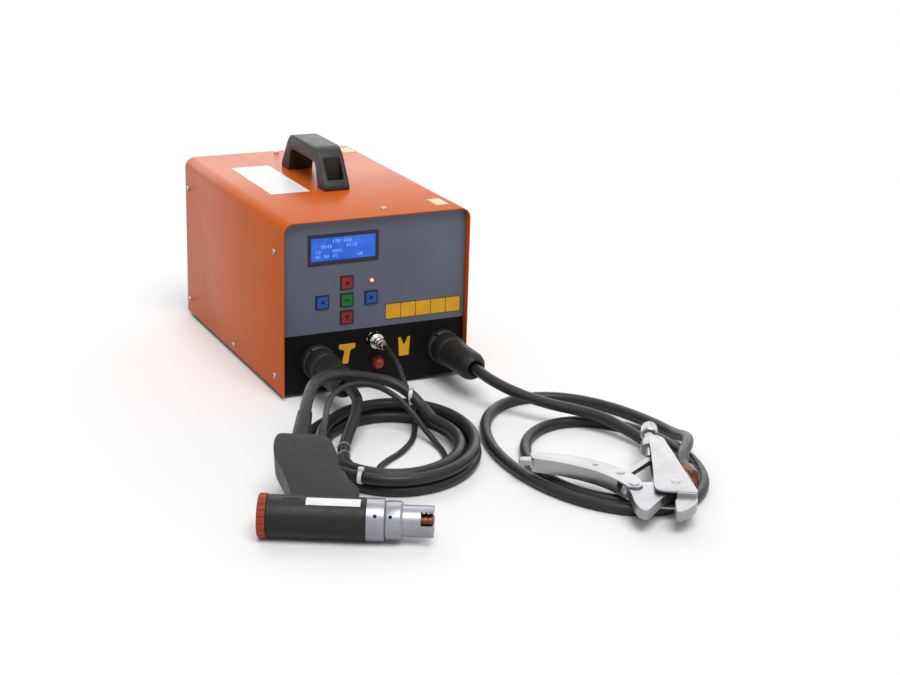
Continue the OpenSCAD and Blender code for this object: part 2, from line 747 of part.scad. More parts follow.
module bus_bars() color("peru") for (side = [-1, 1]) {
    for (x = can_xs)
        translate([x + side * terminal_step - bar_w / 2, can_ys[0] - (side < 0 ? bar_end : bar_w), bar_z])
            cube([bar_w, can_ys[2] - can_ys[0] + bar_w + bar_end, bar_t]);
    translate([can_xs[0] + side * terminal_step - bar_w / 2,
        side < 0 ? can_ys[0] - bar_end : can_ys[2] + bar_end - bar_cross, bar_z])
        cube([can_xs[2] - can_xs[0] + bar_w, bar_cross, bar_t]);
}

window_w = core_w / 2 - 1.5 * core_leg;
window_h = core_h - 2 * core_leg;

module transformer_core() color("gray") translate([core_at[0], core_at[1], pan_top]) {
    difference() {
        block(-core_w / 2, core_w / 2, -core_d / 2, core_d / 2, core_foot_t, core_h);
        for (side = [-1, 1]) translate([side * (2 * core_leg + window_w) / 2, 0, core_h / 2])
            cube([window_w, core_d + 2, window_h], center = true);
    }
    block(-core_w / 2 - core_foot, core_w / 2 + core_foot, -core_d / 2, core_d / 2, 0, core_foot_t);
}

module transformer_coil() color("sienna") translate([core_at[0], core_at[1], pan_top + core_h / 2])
    difference() {
        cube([2 * (core_leg + window_w - coil_gap), core_d + 2 * coil_wall, window_h - 2 * coil_gap],
            center = true);
        cube([2 * (core_leg + coil_gap), core_d + 2 * coil_gap, core_h], center = true);
        for (side = [-1, 1]) translate([side * (core_leg + window_w + core_leg), 0, 0])
            cube([2 * (core_leg + coil_gap), core_d + 2 * coil_gap, core_h], center = true);
    }

sink_h = 45;
sink_base = 10;
fin_t = 3;
fin_count = 8;
module_w = 34;
module_d = 56;
module_h = 28;

module heatsink() color("lightgray") translate([sink_at[0], sink_at[1], pan_top]) {
    block(-sink_w / 2, sink_w / 2, -sink_d / 2, sink_d / 2, sink_h - sink_base, sink_h);
    for (i = [0 : fin_count - 1]) translate([-sink_w / 2 + i * (sink_w - fin_t) / (fin_count - 1), 0, 0])
        block(0, fin_t, -sink_d / 2, sink_d / 2, 0, sink_h - sink_base + 0.5);
}

module thyristors() color([0.2, 0.2, 0.22]) for (side = [-1, 1])
    translate([sink_at[0], sink_at[1] + side * sink_d / 4, pan_top + sink_h])
        block(-module_w / 2, module_w / 2, -module_d / 2, module_d / 2, 0, module_h);

fan_hub_r = 18;
fan_strut = 6;
shaft_r = 2;
shaft_gap = 0.05;
blade_count = 7;
blade_t = 2;
blade_pitch = 35;
blade_tip_gap = 1.5;
rotor_l = 16;
stator_t = 5;

module fan_frame() color([0.1, 0.1, 0.1]) difference() {
    union() {
        difference() {
            block(fan_x - fan_size / 2, fan_x + fan_size / 2, rear_in - fan_depth, rear_in,
                up(fan_z) - fan_size / 2, up(fan_z) + fan_size / 2);
            rod_y(fan_x, up(fan_z), rear_in - fan_depth - 1, rear_in + 1, fan_hole);
        }
        rod_y(fan_x, up(fan_z), rear_in - stator_t, rear_in, fan_hub_r);
        for (a = [0, 90]) translate([fan_x, 0, up(fan_z)]) rotate([0, a, 0])
            block(-fan_hole - 1, fan_hole + 1, rear_in - stator_t, rear_in, -fan_strut / 2, fan_strut / 2);
    }
    rod_y(fan_x, up(fan_z), rear_in - fan_depth - 1, rear_in + 1, shaft_r + shaft_gap);
}

module fan_rotor() color([0.2, 0.2, 0.2]) {
    rod_y(fan_x, up(fan_z), rear_in - stator_t - 1 - rotor_l, rear_in - stator_t - 1, fan_hub_r - 1);
    rod_y(fan_x, up(fan_z), rear_in - stator_t - 2, rear_in - 1, shaft_r);
    for (i = [0 : blade_count - 1]) translate([fan_x, rear_in - stator_t - 1 - rotor_l / 2, up(fan_z)])
        rotate([0, i * 360 / blade_count, 0]) rotate([blade_pitch, 0, 0])
            block(fan_hub_r - 3, fan_hole - blade_tip_gap, -rotor_l / 2, rotor_l / 2,
                -blade_t / 2, blade_t / 2);
}

inlet_depth = 24;
inlet_lip = 4;
inlet_lip_t = 2.5;
inlet_pin = [6.3, 15, 2];
inlet_pin_step = 7;
inlet_earth = 2.5;
inlet_pocket = 17;

module mains_inlet() color([0.08, 0.08, 0.08]) translate([inlet_x, 0, up(inlet_z)]) {
    difference() {
        union() {
            block(-inlet_w / 2, inlet_w / 2, rear_in - inlet_depth, rear_y + 1, -inlet_h / 2, inlet_h / 2);
            block(-inlet_w / 2 - inlet_lip, inlet_w / 2 + inlet_lip, rear_y, rear_y + inlet_lip_t,
                -inlet_h / 2 - inlet_lip, inlet_h / 2 + inlet_lip);
        }
        block(-inlet_w / 2 + inlet_wall, inlet_w / 2 - inlet_wall, rear_y + inlet_lip_t - inlet_pocket,
            rear_y + inlet_lip_t + 1, -inlet_h / 2 + inlet_wall, inlet_h / 2 - inlet_wall);
    }
    for (i = [-1 : 1]) translate([i * inlet_pin_step - inlet_pin[2] / 2,
        rear_y + inlet_lip_t - inlet_pocket - 0.5, -inlet_pin[0] / 2 + (i == 0 ? inlet_earth : -1)])
            cube([inlet_pin[2], inlet_pin[1] - 2, inlet_pin[0] - 2]);
}

rocker_r = 13;
rocker_w = switch_w - 6;
rocker_swing = 16;
rocker_tilt = rocker_swing / 2;
rocker_pin_r = 2;
rocker_y = rear_y - 4;
switch_depth = 26;
switch_wall = 2.5;
switch_lip = 2;
switch_lip_t = 2;
switch_well = 18;

module switch_body() color([0.06, 0.06, 0.06]) translate([switch_x, 0, up(switch_z)]) difference() {
    union() {
        block(-switch_w / 2, switch_w / 2, rear_in - switch_depth, rear_y + 1, -switch_h / 2, switch_h / 2);
        block(-switch_w / 2 - switch_lip, switch_w / 2 + switch_lip, rear_y, rear_y + switch_lip_t,
            -switch_h / 2 - switch_lip, switch_h / 2 + switch_lip);
    }
    block(-switch_w / 2 + switch_wall, switch_w / 2 - switch_wall,
        rear_y - switch_well, rear_y + switch_lip_t + 1,
        -switch_h / 2 + 1.2, switch_h / 2 - 1.2);
    translate([0, rocker_y, 0]) rotate([0, 90, 0])
        cylinder(r = rocker_pin_r + shaft_gap, h = switch_w - 1, center = true);
}

module power_rocker() color("red") translate([switch_x, rocker_y, up(switch_z)])
    rotate([rocker_tilt, 0, 0]) {
    rotate([0, 90, 0]) intersection() {
        cylinder(r = rocker_r - 1.5, h = rocker_w, center = true);
        translate([-rocker_r, -4, -rocker_w / 2]) cube([2 * rocker_r, 11, rocker_w]);
    }
    rotate([0, 90, 0]) cylinder(r = rocker_pin_r, h = switch_w - 2, center = true);
}

// Gun: made along its own axis, front to +X, grip to +Y, then laid on the floor
gun_at = [-295, -565, cap_r];
gun_heading = -27.5;
gun_tilt = 18;
barrel_0 = cap_l;
barrel_1 = cap_l + barrel_l;
collar_1 = barrel_1 + collar_l;
nose_1 = collar_1 + nose_l;
tube_1 = nose_1 + tube_l;
bore_r = barrel_r - shell_t;
spigot_r = bore_r - pin_gap;
spigot_l = 12;
slot_angle = 39;

function turned(p, tilt, heading) = let (y = p[1] * cos(tilt) - p[2] * sin(tilt))
    [p[0] * cos(heading) - y * sin(heading), p[0] * sin(heading) + y * cos(heading),
    p[1] * sin(tilt) + p[2] * cos(tilt)];
function gun_point(p) = gun_at + turned(p, gun_tilt, gun_heading);

module on_gun() {
    translate(gun_at) rotate([gun_tilt, 0, gun_heading]) children();
}

module rod_x(x0, x1, r) {
    translate([x0, 0, 0]) rotate([0, 90, 0]) cylinder(r = r, h = x1 - x0);
}

// Grip outline, drawn in by the given inset for the hollow
module grip_outline(inset) {
    polygon([[36 + inset, 10], [24 + inset, 46], [5.5 + inset, 85], [4.5 + inset, grip_end - 9],
        [8.5 + inset, grip_end - inset], [54 - inset / 2, grip_end - inset],
        [66 - inset, grip_end - 6 - inset / 2], [75.5 - inset, 88], [79 - inset, 68], [85 - inset, 54],
        [93 - inset, 43], [101 - inset, 36],
        [105 - inset, 28], [105 - inset, 10]]);
}

trigger_y0 = 50;
trigger_y1 = 70;
trigger_x = 74;
trigger_w = 12;
boot_x = 31;
control_entry_x = 55;
grip_screws = [[18, 96], [62, 92], [48, 62], [64, 36]];
boss_r = 4.5;
pilot_r = 1.5;
pilot_head_r = 3.2;
pilot_head_h = 2.4;

module trigger_outline(grow) {
    polygon([[trigger_x - grow, trigger_y0 - grow], [93 + grow, trigger_y0 - grow], [89.5 + grow, 60],
        [84.5 + grow, trigger_y1 + grow], [trigger_x - grow, trigger_y1 + grow]]);
}

module gun_shell() {
    difference() {
        union() {
            rod_x(barrel_0, barrel_1, barrel_r);
            translate([0, 0, -grip_t / 2]) linear_extrude(grip_t) grip_outline(0);
        }
        rod_x(barrel_0 - 1, barrel_1 + 1, bore_r);
        difference() {
            translate([0, 0, -grip_t / 2 + shell_t]) linear_extrude(grip_t - 2 * shell_t)
                grip_outline(shell_t);
            for (s = grip_screws) translate([s[0], s[1], 0])
                cylinder(r = boss_r, h = grip_t, center = true);
        }
        translate([0, 0, -trigger_w / 2 - trigger_gap]) linear_extrude(trigger_w + 2 * trigger_gap)
            translate([-trigger_travel - trigger_gap, 0]) trigger_outline(trigger_gap);
        translate([0, 0, -trigger_w / 2 - trigger_gap]) linear_extrude(trigger_w + 2 * trigger_gap)
            trigger_outline(trigger_gap);
        for (s = grip_screws) translate([s[0], s[1], -grip_t]) {
            cylinder(r = pilot_r + hole_gap, h = 2 * grip_t - 6);
            cylinder(r = pilot_head_r + hole_gap, h = grip_t / 2 + pilot_head_h + 0.2);
        }
    }
}

module gun_shell_left() color([0.16, 0.16, 0.17]) on_gun() intersection() {
    gun_shell();
    block(-1, tube_1, -barrel_r - 1, grip_end + 1, 0, barrel_r + 1);
}

module gun_shell_right() color([0.16, 0.16, 0.17]) on_gun() intersection() {
    gun_shell();
    block(-1, tube_1, -barrel_r - 1, grip_end + 1, -barrel_r - 1, 0);
}

module grip_screw_set() on_gun() for (s = grip_screws) translate([s[0], s[1], -grip_t / 2]) {
    cylinder(r = pilot_head_r, h = pilot_head_h);
    cylinder(r = pilot_r, h = grip_t - 8);
}

module screws() color("silver") {
    case_screws();
    grip_screw_set();
}

cap_notches = 20;
notch_r = 1.6;
spring_seat_r = bore_r - 6;
spring_0 = cap_l + 3;

module gun_rear_cap() color("orangered") on_gun() difference() {
    union() {
        rod_x(0, cap_l - flat_gap, cap_r);
        rod_x(cap_l - 1, cap_l + spigot_l, spigot_r);
    }
    rod_x(spring_0, cap_l + spigot_l + 1, spring_seat_r);
    for (i = [0 : cap_notches - 1]) rotate([i * 360 / cap_notches, 0, 0])
        translate([0, 0, cap_r + notch_r / 3]) rod_x(-1, cap_l + 1, notch_r);
}

module radial_hole(x, depth, r) {
    rotate([slot_angle, 0, 0]) translate([x, 0, r - depth]) cylinder(r = 2, h = depth + 2);
}

set_screw_depth = 4;

module gun_collar() color("gainsboro") on_gun() difference() {
    union() {
        rod_x(barrel_1, collar_1, barrel_r);
        rod_x(barrel_1 - spigot_l, barrel_1 + 1, spigot_r);
    }
    rod_x(barrel_1 - spigot_l - 1, collar_1 + 1, rod_r + rod_gap);
    radial_hole(barrel_1 + collar_l / 2, set_screw_depth, barrel_r);
}

nose_chamfer = 2.5;
nose_seat = 9;

module gun_nose() color("gainsboro") on_gun() difference() {
    translate([collar_1, 0, 0]) rotate([0, 90, 0]) rotate_extrude() polygon([[0, 0],
        [nose_r - nose_chamfer / 2, 0], [nose_r, nose_chamfer], [nose_r, nose_l - nose_chamfer],
        [nose_r - nose_chamfer, nose_l], [0, nose_l]]);
    rod_x(collar_1 - 1, nose_1 + 1, tube_r - tube_t - 2);
    rod_x(collar_1 + nose_seat, nose_1 + 1, tube_r + pin_gap);
    radial_hole(collar_1 + nose_l / 3, set_screw_depth, nose_r);
}

tube_slots = 3;
tube_slot_l = 14;
tube_slot_w = 15;

module gun_front_tube() color("gainsboro") on_gun() difference() {
    rod_x(collar_1 + nose_seat, tube_1, tube_r);
    rod_x(collar_1 + nose_seat - 1, tube_1 + 1, tube_r - tube_t);
    for (i = [0 : tube_slots - 1]) rotate([slot_angle + i * 360 / tube_slots, 0, 0])
        block(tube_1 - tube_slot_l, tube_1 + 1, -tube_slot_w / 2, tube_slot_w / 2, 0, tube_r + 1);
}

spring_solid = 37.5;
piston_x = spring_0 + spring_solid + stroke;
piston_l = 8;
piston_r = bore_r - 1;
chuck_0 = nose_1 - 4;
chuck_1 = tube_1 - 1;

module gun_plunger() color("dimgray") on_gun() {
    rod_x(piston_x + 1, chuck_0, rod_r);
    rod_x(piston_x, piston_x + piston_l, piston_r);
}

chuck_grooves = 4;
chuck_groove = 1.5;

module gun_chuck() color("chocolate") on_gun() difference() {
    rod_x(chuck_0, chuck_1, chuck_r);
    rod_x(chuck_1 - stud_depth, chuck_1 + 1, stud_r);
    for (i = [1 : chuck_grooves]) difference() {
        rod_x(chuck_0 + i * 5, chuck_0 + i * 5 + chuck_groove, chuck_r + 1);
        rod_x(chuck_0 + i * 5 - 1, chuck_0 + i * 5 + chuck_groove + 1, chuck_r - 1);
    }
}

// Spring between the rear cap and the piston, one unbroken helix
spring_r = 10;
spring_wire = 1;
spring_turns = 8;
spring_end_gap = 0.3;

spring_start = spring_0 + spring_wire + spring_end_gap;
spring_end = piston_x - spring_wire - spring_end_gap;

module gun_spring() color("silver") on_gun()
    tube([for (i = [0 : 8 * spring_turns]) let (a = 45 * i)
        [spring_start + (spring_end - spring_start) * i / (8 * spring_turns), spring_r * cos(a),
        spring_r * sin(a)]], spring_wire, 6, [1, 0, 0]);

module gun_trigger() color([0.05, 0.05, 0.05]) on_gun() translate([0, 0, -trigger_w / 2])
    linear_extrude(trigger_w) trigger_outline(0);

boot_tip_r = cable_r + 1.5;
control_boot_l = 24;
control_boot_r = control_cable_r + 2.1;
control_boot_tip_r = control_cable_r + 1.1;

module gun_boot() color([0.1, 0.1, 0.1]) on_gun() {
    translate([boot_x, grip_end, 0]) rotate([-90, 0, 0]) cylinder(r1 = boot_r, r2 = boot_tip_r, h = boot_l);
    translate([control_entry_x, grip_end, 0]) rotate([-90, 0, 0])
        cylinder(r1 = control_boot_r, r2 = control_boot_tip_r, h = control_boot_l);
}

// Cables: a smooth route through chosen points, swept into one tube
function unit(v) = v / norm(v);
function between(a, b, c, d, s) = 0.5 * (2 * b + (c - a) * s + (2 * a - 5 * b + 4 * c - d) * s * s
    + (3 * b - a - 3 * c + d) * s * s * s);
function smooth_path(p, steps) = let (last = len(p) - 1) concat([p[0]],
    [for (i = [1 : last - 2]) for (j = [0 : steps - 1])
        between(p[i - 1], p[i], p[i + 1], p[i + 2], j / steps)],
    [p[last - 1], p[last]]);
function heading_at(path, i) = unit(path[min(i + 1, len(path) - 1)] - path[max(i - 1, 0)]);
function ring_at(path, i, r, sides, upward) = let (ahead = heading_at(path, i),
    side = unit(cross(ahead, upward)), over = cross(side, ahead))
    [for (j = [0 : sides - 1]) path[i] + r * (cos(360 * j / sides) * side + sin(360 * j / sides) * over)];

module tube(path, r, sides, upward = [0, 0, 1]) {
    last = len(path) - 1;
    polyhedron(points = [for (i = [0 : last]) each ring_at(path, i, r, sides, upward)],
        faces = concat(
            [for (j = [1 : sides - 2]) [0, j, j + 1]],
            [for (j = [1 : sides - 2]) [last * sides, last * sides + j + 1, last * sides + j]],
            [for (i = [0 : last - 1]) for (j = [0 : sides - 1]) let (k = (j + 1) % sides)
                each [[i * sides + j, (i + 1) * sides + j, (i + 1) * sides + k],
                    [i * sides + j, (i + 1) * sides + k, i * sides + k]]]));
}

// Least distance between turns that lie more than half a turn apart, less the tube's diameter
function least_gap(path, apart, r) = min([for (i = [0 : len(path) - 1])
    for (j = [i + apart : 2 : len(path) - 1]) norm(path[i] - path[j])]) - 2 * r;

// Gun coil: two layers, spiralling out on the floor, climbing, then spiralling in on top
gun_coil_at = [-71, -416];
gun_coil_turn = -25;
gun_coil_short = 76;
gun_coil_long = 102;
gun_coil_first = 225;
gun_coil_out = 1.57;
gun_coil_turns = 3.46;
gun_coil_tuck = 0.7;
gun_tuck_turn = 0.2;
loop_rings = 24;
turn_step = 2 * cable_r + turn_gap;

function gun_coil_step(t) = (t < gun_coil_out ? t
    : t > gun_coil_out + 0.5 ? 2 * gun_coil_out + 0.5 - t
    : gun_coil_out + 0.25 - 4 * pow(t - gun_coil_out - 0.25, 2))
    - gun_coil_tuck * (pow(max(0, 1 - t / gun_tuck_turn), 2)
        + pow(max(0, 1 - (gun_coil_turns - t) / gun_tuck_turn), 2));
function gun_coil_layer(t) = let (s = min(1, max(0, (t - gun_coil_out) / 0.5))) s * s * (3 - 2 * s);
function gun_coil_point(t) = let (a = gun_coil_first + 360 * t, out = gun_coil_step(t) * turn_step,
    u = (gun_coil_short + out) * cos(a), v = (gun_coil_long + out) * sin(a))
    [gun_coil_at[0] + u * cos(gun_coil_turn) - v * sin(gun_coil_turn),
    gun_coil_at[1] + u * sin(gun_coil_turn) + v * cos(gun_coil_turn),
    cable_r + gun_coil_layer(t) * turn_step];
function gun_coil_heading(t) = unit(gun_coil_point(t + 0.001) - gun_coil_point(t - 0.001));

gun_coil_start = gun_coil_point(0) - 2 * cable_r * gun_coil_heading(0);
gun_coil_end = gun_coil_point(gun_coil_turns) + 2 * cable_r * gun_coil_heading(gun_coil_turns);
gun_coil_path = concat([gun_coil_start],
    [for (i = [0 : floor(gun_coil_turns * loop_rings)]) gun_coil_point(i / loop_rings)],
    [gun_coil_point(gun_coil_turns), gun_coil_end]);

module gun_coil() color([0.13, 0.13, 0.14]) tube(gun_coil_path, cable_r, 6);

echo(gun_coil_least_gap = least_gap([for (t = [0 : 1 / 96 : gun_coil_turns]) gun_coil_point(t)],
    48, cable_r));

// Earth coil: one layer, opening outwards from the lead at its inner end to the clamp's end outside
earth_coil_at = [147.5, -567];
earth_coil_wide = 78.5;
earth_coil_deep = 84.5;
earth_coil_first = 0;
earth_coil_turns = 1.95;
earth_wide_step = 21.5;
earth_deep_step = 60;
earth_shift = [-0.5, 34];

function earth_coil_point(t) = let (a = earth_coil_first - 360 * t)
    [earth_coil_at[0] + earth_shift[0] * t + (earth_coil_wide + earth_wide_step * t) * cos(a),
    earth_coil_at[1] + earth_shift[1] * t + (earth_coil_deep + earth_deep_step * t) * sin(a), cable_r];
function earth_coil_heading(t) = unit(earth_coil_point(t + 0.001) - earth_coil_point(t - 0.001));

earth_coil_start = earth_coil_point(0) - 2 * cable_r * earth_coil_heading(0);
earth_coil_end = earth_coil_point(earth_coil_turns) + 2 * cable_r * earth_coil_heading(earth_coil_turns);
earth_coil_path = concat([earth_coil_start],
    [for (i = [0 : floor(earth_coil_turns * loop_rings)]) earth_coil_point(i / loop_rings)],
    [earth_coil_point(earth_coil_turns), earth_coil_end]);

module earth_coil() color([0.13, 0.13, 0.14]) tube(earth_coil_path, cable_r, 6);

echo(earth_coil_least_gap = least_gap([for (t = [0 : 1 / 96 : earth_coil_turns]) earth_coil_point(t)],
    48, cable_r));

// Free stretches. Each starts square to its plug and ends square to its coil, boot or lug.
gun_lead = concat([[gun_socket_x, plug_end_y, up(socket_z)], [gun_socket_x, plug_end_y - 14, up(socket_z)]],
    [[-84, -332, 42], [-97, -356, 31], [-115, -378, 19], [-130, -401, 10]],
    [gun_coil_start - 14 * gun_coil_heading(0), gun_coil_start]);
gun_tail = concat([gun_coil_end, gun_coil_end + 8 * gun_coil_heading(gun_coil_turns)],
    [[-6, -353, 31], [-15, -335, 43], [-31, -320, 54], [-55, -313, 61], [-84, -319, 70], [-112, -335, 80],
    [-139, -358, 88], [-163, -386, 91]],
    [gun_point([boot_x, grip_end + boot_l + 16, 0]), gun_point([boot_x, grip_end + boot_l, 0])]);

module gun_cable() color([0.13, 0.13, 0.14]) {
    tube(smooth_path(gun_lead, 2), cable_r, 8);
    tube(smooth_path(gun_tail, 2), cable_r, 8);
}

control_route = concat([[control_x, control_end_y, up(control_z)],
    [control_x, control_end_y - 10, up(control_z)]],
    [[-3, -270, 59], [-5, -296, 44], [-8, -317, 37], [-11, -335, 27], [-17, -356, 13], [-29, -379, 5],
    [-45, -400, 4], [-66, -420, 4], [-90, -437, 4], [-107, -453, 4], [-113, -471, 4], [-107, -487, 4],
    [-92, -497, 4], [-74, -499, 4], [-56, -493, 4], [-38, -478, 4], [-24, -458, 4], [-16, -434, 4],
    [-14, -410, 6], [-17, -386, 14], [-22, -365, 26], [-33, -346, 41], [-53, -334, 55], [-80, -337, 65],
    [-108, -356, 73], [-134, -386, 79], [-156, -417, 80]],
    [gun_point([control_entry_x, grip_end + control_boot_l + 14, 0]),
    gun_point([control_entry_x, grip_end + control_boot_l, 0])]);

module control_cable() color([0.1, 0.1, 0.1]) tube(smooth_path(control_route, 2), control_cable_r, 8);

// Earth clamp: locking pliers laid flat, drawn in their own plane with the jaw rivet at the origin
clamp_at = [150, -682, 26.5];
clamp_heading = -25.8;
clamp_tilt = 2;
lever_pivot = [-46, -4];
link_pivot = [-58.5, 25];
link_top = [-21, 76.5];
release_pivot = [-85, 46];
cheek_in = jaw_t / 2 + cheek_gap;
cheek_out = cheek_in + clamp_t;
body_in = cheek_out + cheek_gap;
body_out = body_in + clamp_t;
rivet_head = 1.2;
rivet_head_r = rivet_r + 1.5;

function clamp_point(p) = clamp_at + turned(p, clamp_tilt, clamp_heading);

module on_clamp() {
    translate(clamp_at) rotate([clamp_tilt, 0, clamp_heading]) children();
}

module plate(z0, z1) {
    translate([0, 0, z0]) linear_extrude(z1 - z0) children();
}

module both_cheeks(z0, z1) {
    plate(z0, z1) children();
    plate(-z1, -z0) children();
}

module pivot(at, r, half) {
    translate([at[0], at[1], -half]) cylinder(r = r, h = 2 * half);
}

// Adjusting screw axis, from the link's seat out to the knob
adjuster_angle = 83.6;
adjuster_clear = 9;
sleeve_0 = 30;
sleeve_1 = 50;
neck_1 = 68;
neck_r = 7;
knob_0 = neck_1 + 5;
knob_l = 22;
sleeve_r = body_out - 1;

module on_adjuster() {
    translate([link_top[0], link_top[1], 0]) rotate([0, 0, adjuster_angle]) children();
}

// The handle's spine: its outer edge runs from the jaw to the screw sleeve
spine_low = [21.6, -24];
spine_high = [0, 119];
spine_angle = atan2(spine_high[1] - spine_low[1], spine_high[0] - spine_low[0]);
spine_wall = clamp_t * [-sin(spine_angle), cos(spine_angle)];
lug_bolt_r = 4;
lug_nut_r = 6.5;
lug_nut_h = 5;
lug_at = 42;
lug_palm = 26;
lug_palm_t = 4;
lug_palm_h = 16;
lug_barrel_r = cable_r + 2.5;
lug_barrel_l = 22;
lug_axis = -lug_barrel_r - flat_gap;
lug_mouth = lug_at + lug_palm / 2 + lug_barrel_l;
function lug_point(along) = clamp_point([
    spine_low[0] + along * cos(spine_angle) - lug_axis * sin(spine_angle),
    spine_low[1] + along * sin(spine_angle) + lug_axis * cos(spine_angle), 0]);

module on_spine() {
    translate([spine_low[0], spine_low[1], 0]) rotate([0, 0, spine_angle]) children();
}

module body_outline() {
    polygon([[-18, 126], [-8, 128], spine_high, spine_low, [20, -28], [-23, -24], [-25, -13], [-21, 40],
        [-18, 99]]);
}

module clamp_body() color("gainsboro") on_clamp() difference() {
    union() {
        both_cheeks(body_in, body_out) body_outline();
        plate(-body_out, body_out)
            polygon([spine_high, spine_low, spine_low + spine_wall, spine_high + spine_wall]);
        on_adjuster() {
            rod_x(sleeve_0, sleeve_1, sleeve_r);
            rod_x(sleeve_1 - 1, neck_1, neck_r);
        }
        pivot([0, 0], rivet_r, body_out + rivet_head);
        for (side = [-1, 1]) translate([0, 0, side * (body_out + rivet_head / 2)])
            cylinder(r = rivet_head_r, h = rivet_head, center = true);
        plate(-jaw_t / 2, jaw_t / 2) polygon([[-2.5, -27], [-3, -34], [-5, -38], [-6.5, -65], [0, -64.5],
            [8, -58], [15, -49], [20, -38], [20.5, -27]]);
        plate(-body_out, body_out) polygon([[2, -20], [20, -20], [20.5, -29], [-2, -28]]);
    }
    on_adjuster() rod_x(0, neck_1 + 1, adjuster_r + rivet_gap);
    on_spine() translate([lug_at, 0, 0]) rotate([90, 0, 0])
        cylinder(r = lug_bolt_r + hole_gap, h = 20, center = true);
}

module clamp_jaw() color("gainsboro") on_clamp() difference() {
    union() {
        plate(-jaw_t / 2, jaw_t / 2) {
            circle(r = 11);
            polygon([[-46, 5], [0, 11], [6, -9], [-12, -22], [-18, -32], [-35, -62], [-40, -65], [-45, -60],
                [-50, -44], [-51, -20]]);
            translate(lever_pivot) circle(r = 9);
        }
        pivot(lever_pivot, rivet_r, cheek_out + cheek_gap + rivet_head);
        for (side = [-1, 1]) translate([lever_pivot[0], lever_pivot[1],
            side * (cheek_out + cheek_gap + rivet_head / 2)])
                cylinder(r = rivet_head_r, h = rivet_head, center = true);
    }
    pivot([0, 0], rivet_r + rivet_gap, jaw_t);
}

lever_outer = [[-53, -11], [-66, 8], [-82, 24], [-104, 38], [-130, 50], [-156, 57]];
lever_inner = [[-158, 74], [-130, 72], [-104, 66], [-82, 56], [-66, 44], [-50, 31], [-38, 8], [-36, -6],
    [-42, -13]];
link_w = 9;
link_neck = 8;
link_t = 3;
link_rivet_r = 3.5;
release_rivet_r = 2.5;

module clamp_lever() color("gainsboro") on_clamp() difference() {
    union() {
        both_cheeks(cheek_in, cheek_out) polygon(concat(lever_outer, lever_inner));
        plate(-cheek_out, cheek_out) polygon(concat([for (i = [1 : len(lever_outer) - 1]) lever_outer[i]],
            [for (i = [len(lever_outer) - 1 : -1 : 1]) lever_outer[i] + [1, clamp_t]]));
        pivot(link_pivot, link_rivet_r, cheek_out + rivet_head);
        pivot(release_pivot, release_rivet_r, cheek_out + rivet_head);
    }
    pivot(lever_pivot, rivet_r + rivet_gap, body_out);
}

module clamp_link() color("silver") on_clamp() difference() {
    plate(-link_t, link_t) {
        for (p = [link_pivot, link_top]) translate(p) circle(d = link_w);
        translate(link_pivot) rotate(atan2(link_top[1] - link_pivot[1], link_top[0] - link_pivot[0]))
            translate([0, -link_neck / 2]) square([norm(link_top - link_pivot), link_neck]);
    }
    pivot(link_pivot, link_rivet_r + rivet_gap, jaw_t);
}

release_t = 4;

module release_lever() color("gray") on_clamp() difference() {
    plate(-release_t, release_t) polygon([[-80, 40], [-79, 50], [-92, 55], [-130, 67], [-152, 72.5],
        [-169, 71.5], [-172, 63], [-156, 62], [-131, 55.5], [-105, 44], [-92, 38]]);
    pivot(release_pivot, release_rivet_r + rivet_gap, jaw_t);
}

knob_grooves = 18;

module clamp_adjuster() color("silver") on_clamp() on_adjuster() difference() {
    union() {
        rod_x(adjuster_clear, knob_0 + 1, adjuster_r);
        rod_x(knob_0, knob_0 + knob_l, knob_r);
    }
    for (i = [0 : knob_grooves - 1]) rotate([i * 360 / knob_grooves, 0, 0]) translate([0, 0, knob_r + 0.4])
        rod_x(knob_0 + 2, knob_0 + knob_l - 2, 1.2);
}

module cable_lug() color("peru") on_clamp() on_spine() {
    difference() {
        union() {
            block(lug_at - lug_palm / 2, lug_at + lug_palm / 2 + 2, -lug_palm_t - flat_gap, -flat_gap,
                -lug_palm_h / 2, lug_palm_h / 2);
            translate([0, lug_axis, 0]) rod_x(lug_at + lug_palm / 2, lug_mouth, lug_barrel_r);
        }
        translate([lug_at, 0, 0]) rotate([90, 0, 0])
            cylinder(r = lug_bolt_r + hole_gap, h = 40, center = true);
    }
    translate([lug_at, -lug_palm_t - flat_gap, 0]) rotate([90, 0, 0])
        cylinder(r = lug_nut_r, h = lug_nut_h, $fn = 6);
    translate([lug_at, clamp_t + 4, 0]) rotate([90, 0, 0])
        cylinder(r = lug_bolt_r, h = clamp_t + lug_palm_t + lug_nut_h);
}

// The earth cable's free stretches: plug to coil, and coil to the clamp's lug
earth_lead = concat([[earth_socket_x, plug_end_y, up(socket_z)],
    [earth_socket_x, plug_end_y - 13, up(socket_z)]],
    [[103, -322, 42], [115, -345, 36], [133, -370, 30], [154, -395, 26], [176, -419, 24], [197, -447, 21],
    [211, -479, 15], [220, -510, 10]],
    [earth_coil_start - 14 * earth_coil_heading(0), earth_coil_start]);
earth_tail = concat([earth_coil_end, earth_coil_end + 8 * earth_coil_heading(earth_coil_turns)],
    [[268, -490, 8], [266, -511, 12], [260, -534, 19], [249, -556, 25], [235, -576, 28], [220, -593, 29.5],
    [207, -609, 29.5]],
    [lug_point(lug_mouth + 16) + [0, 0, -1], lug_point(lug_mouth + 6), lug_point(lug_mouth)]);

module earth_cable() color([0.13, 0.13, 0.14]) {
    tube(smooth_path(earth_lead, 2), cable_r, 8);
    tube(smooth_path(earth_tail, 2), cable_r, 8);
}

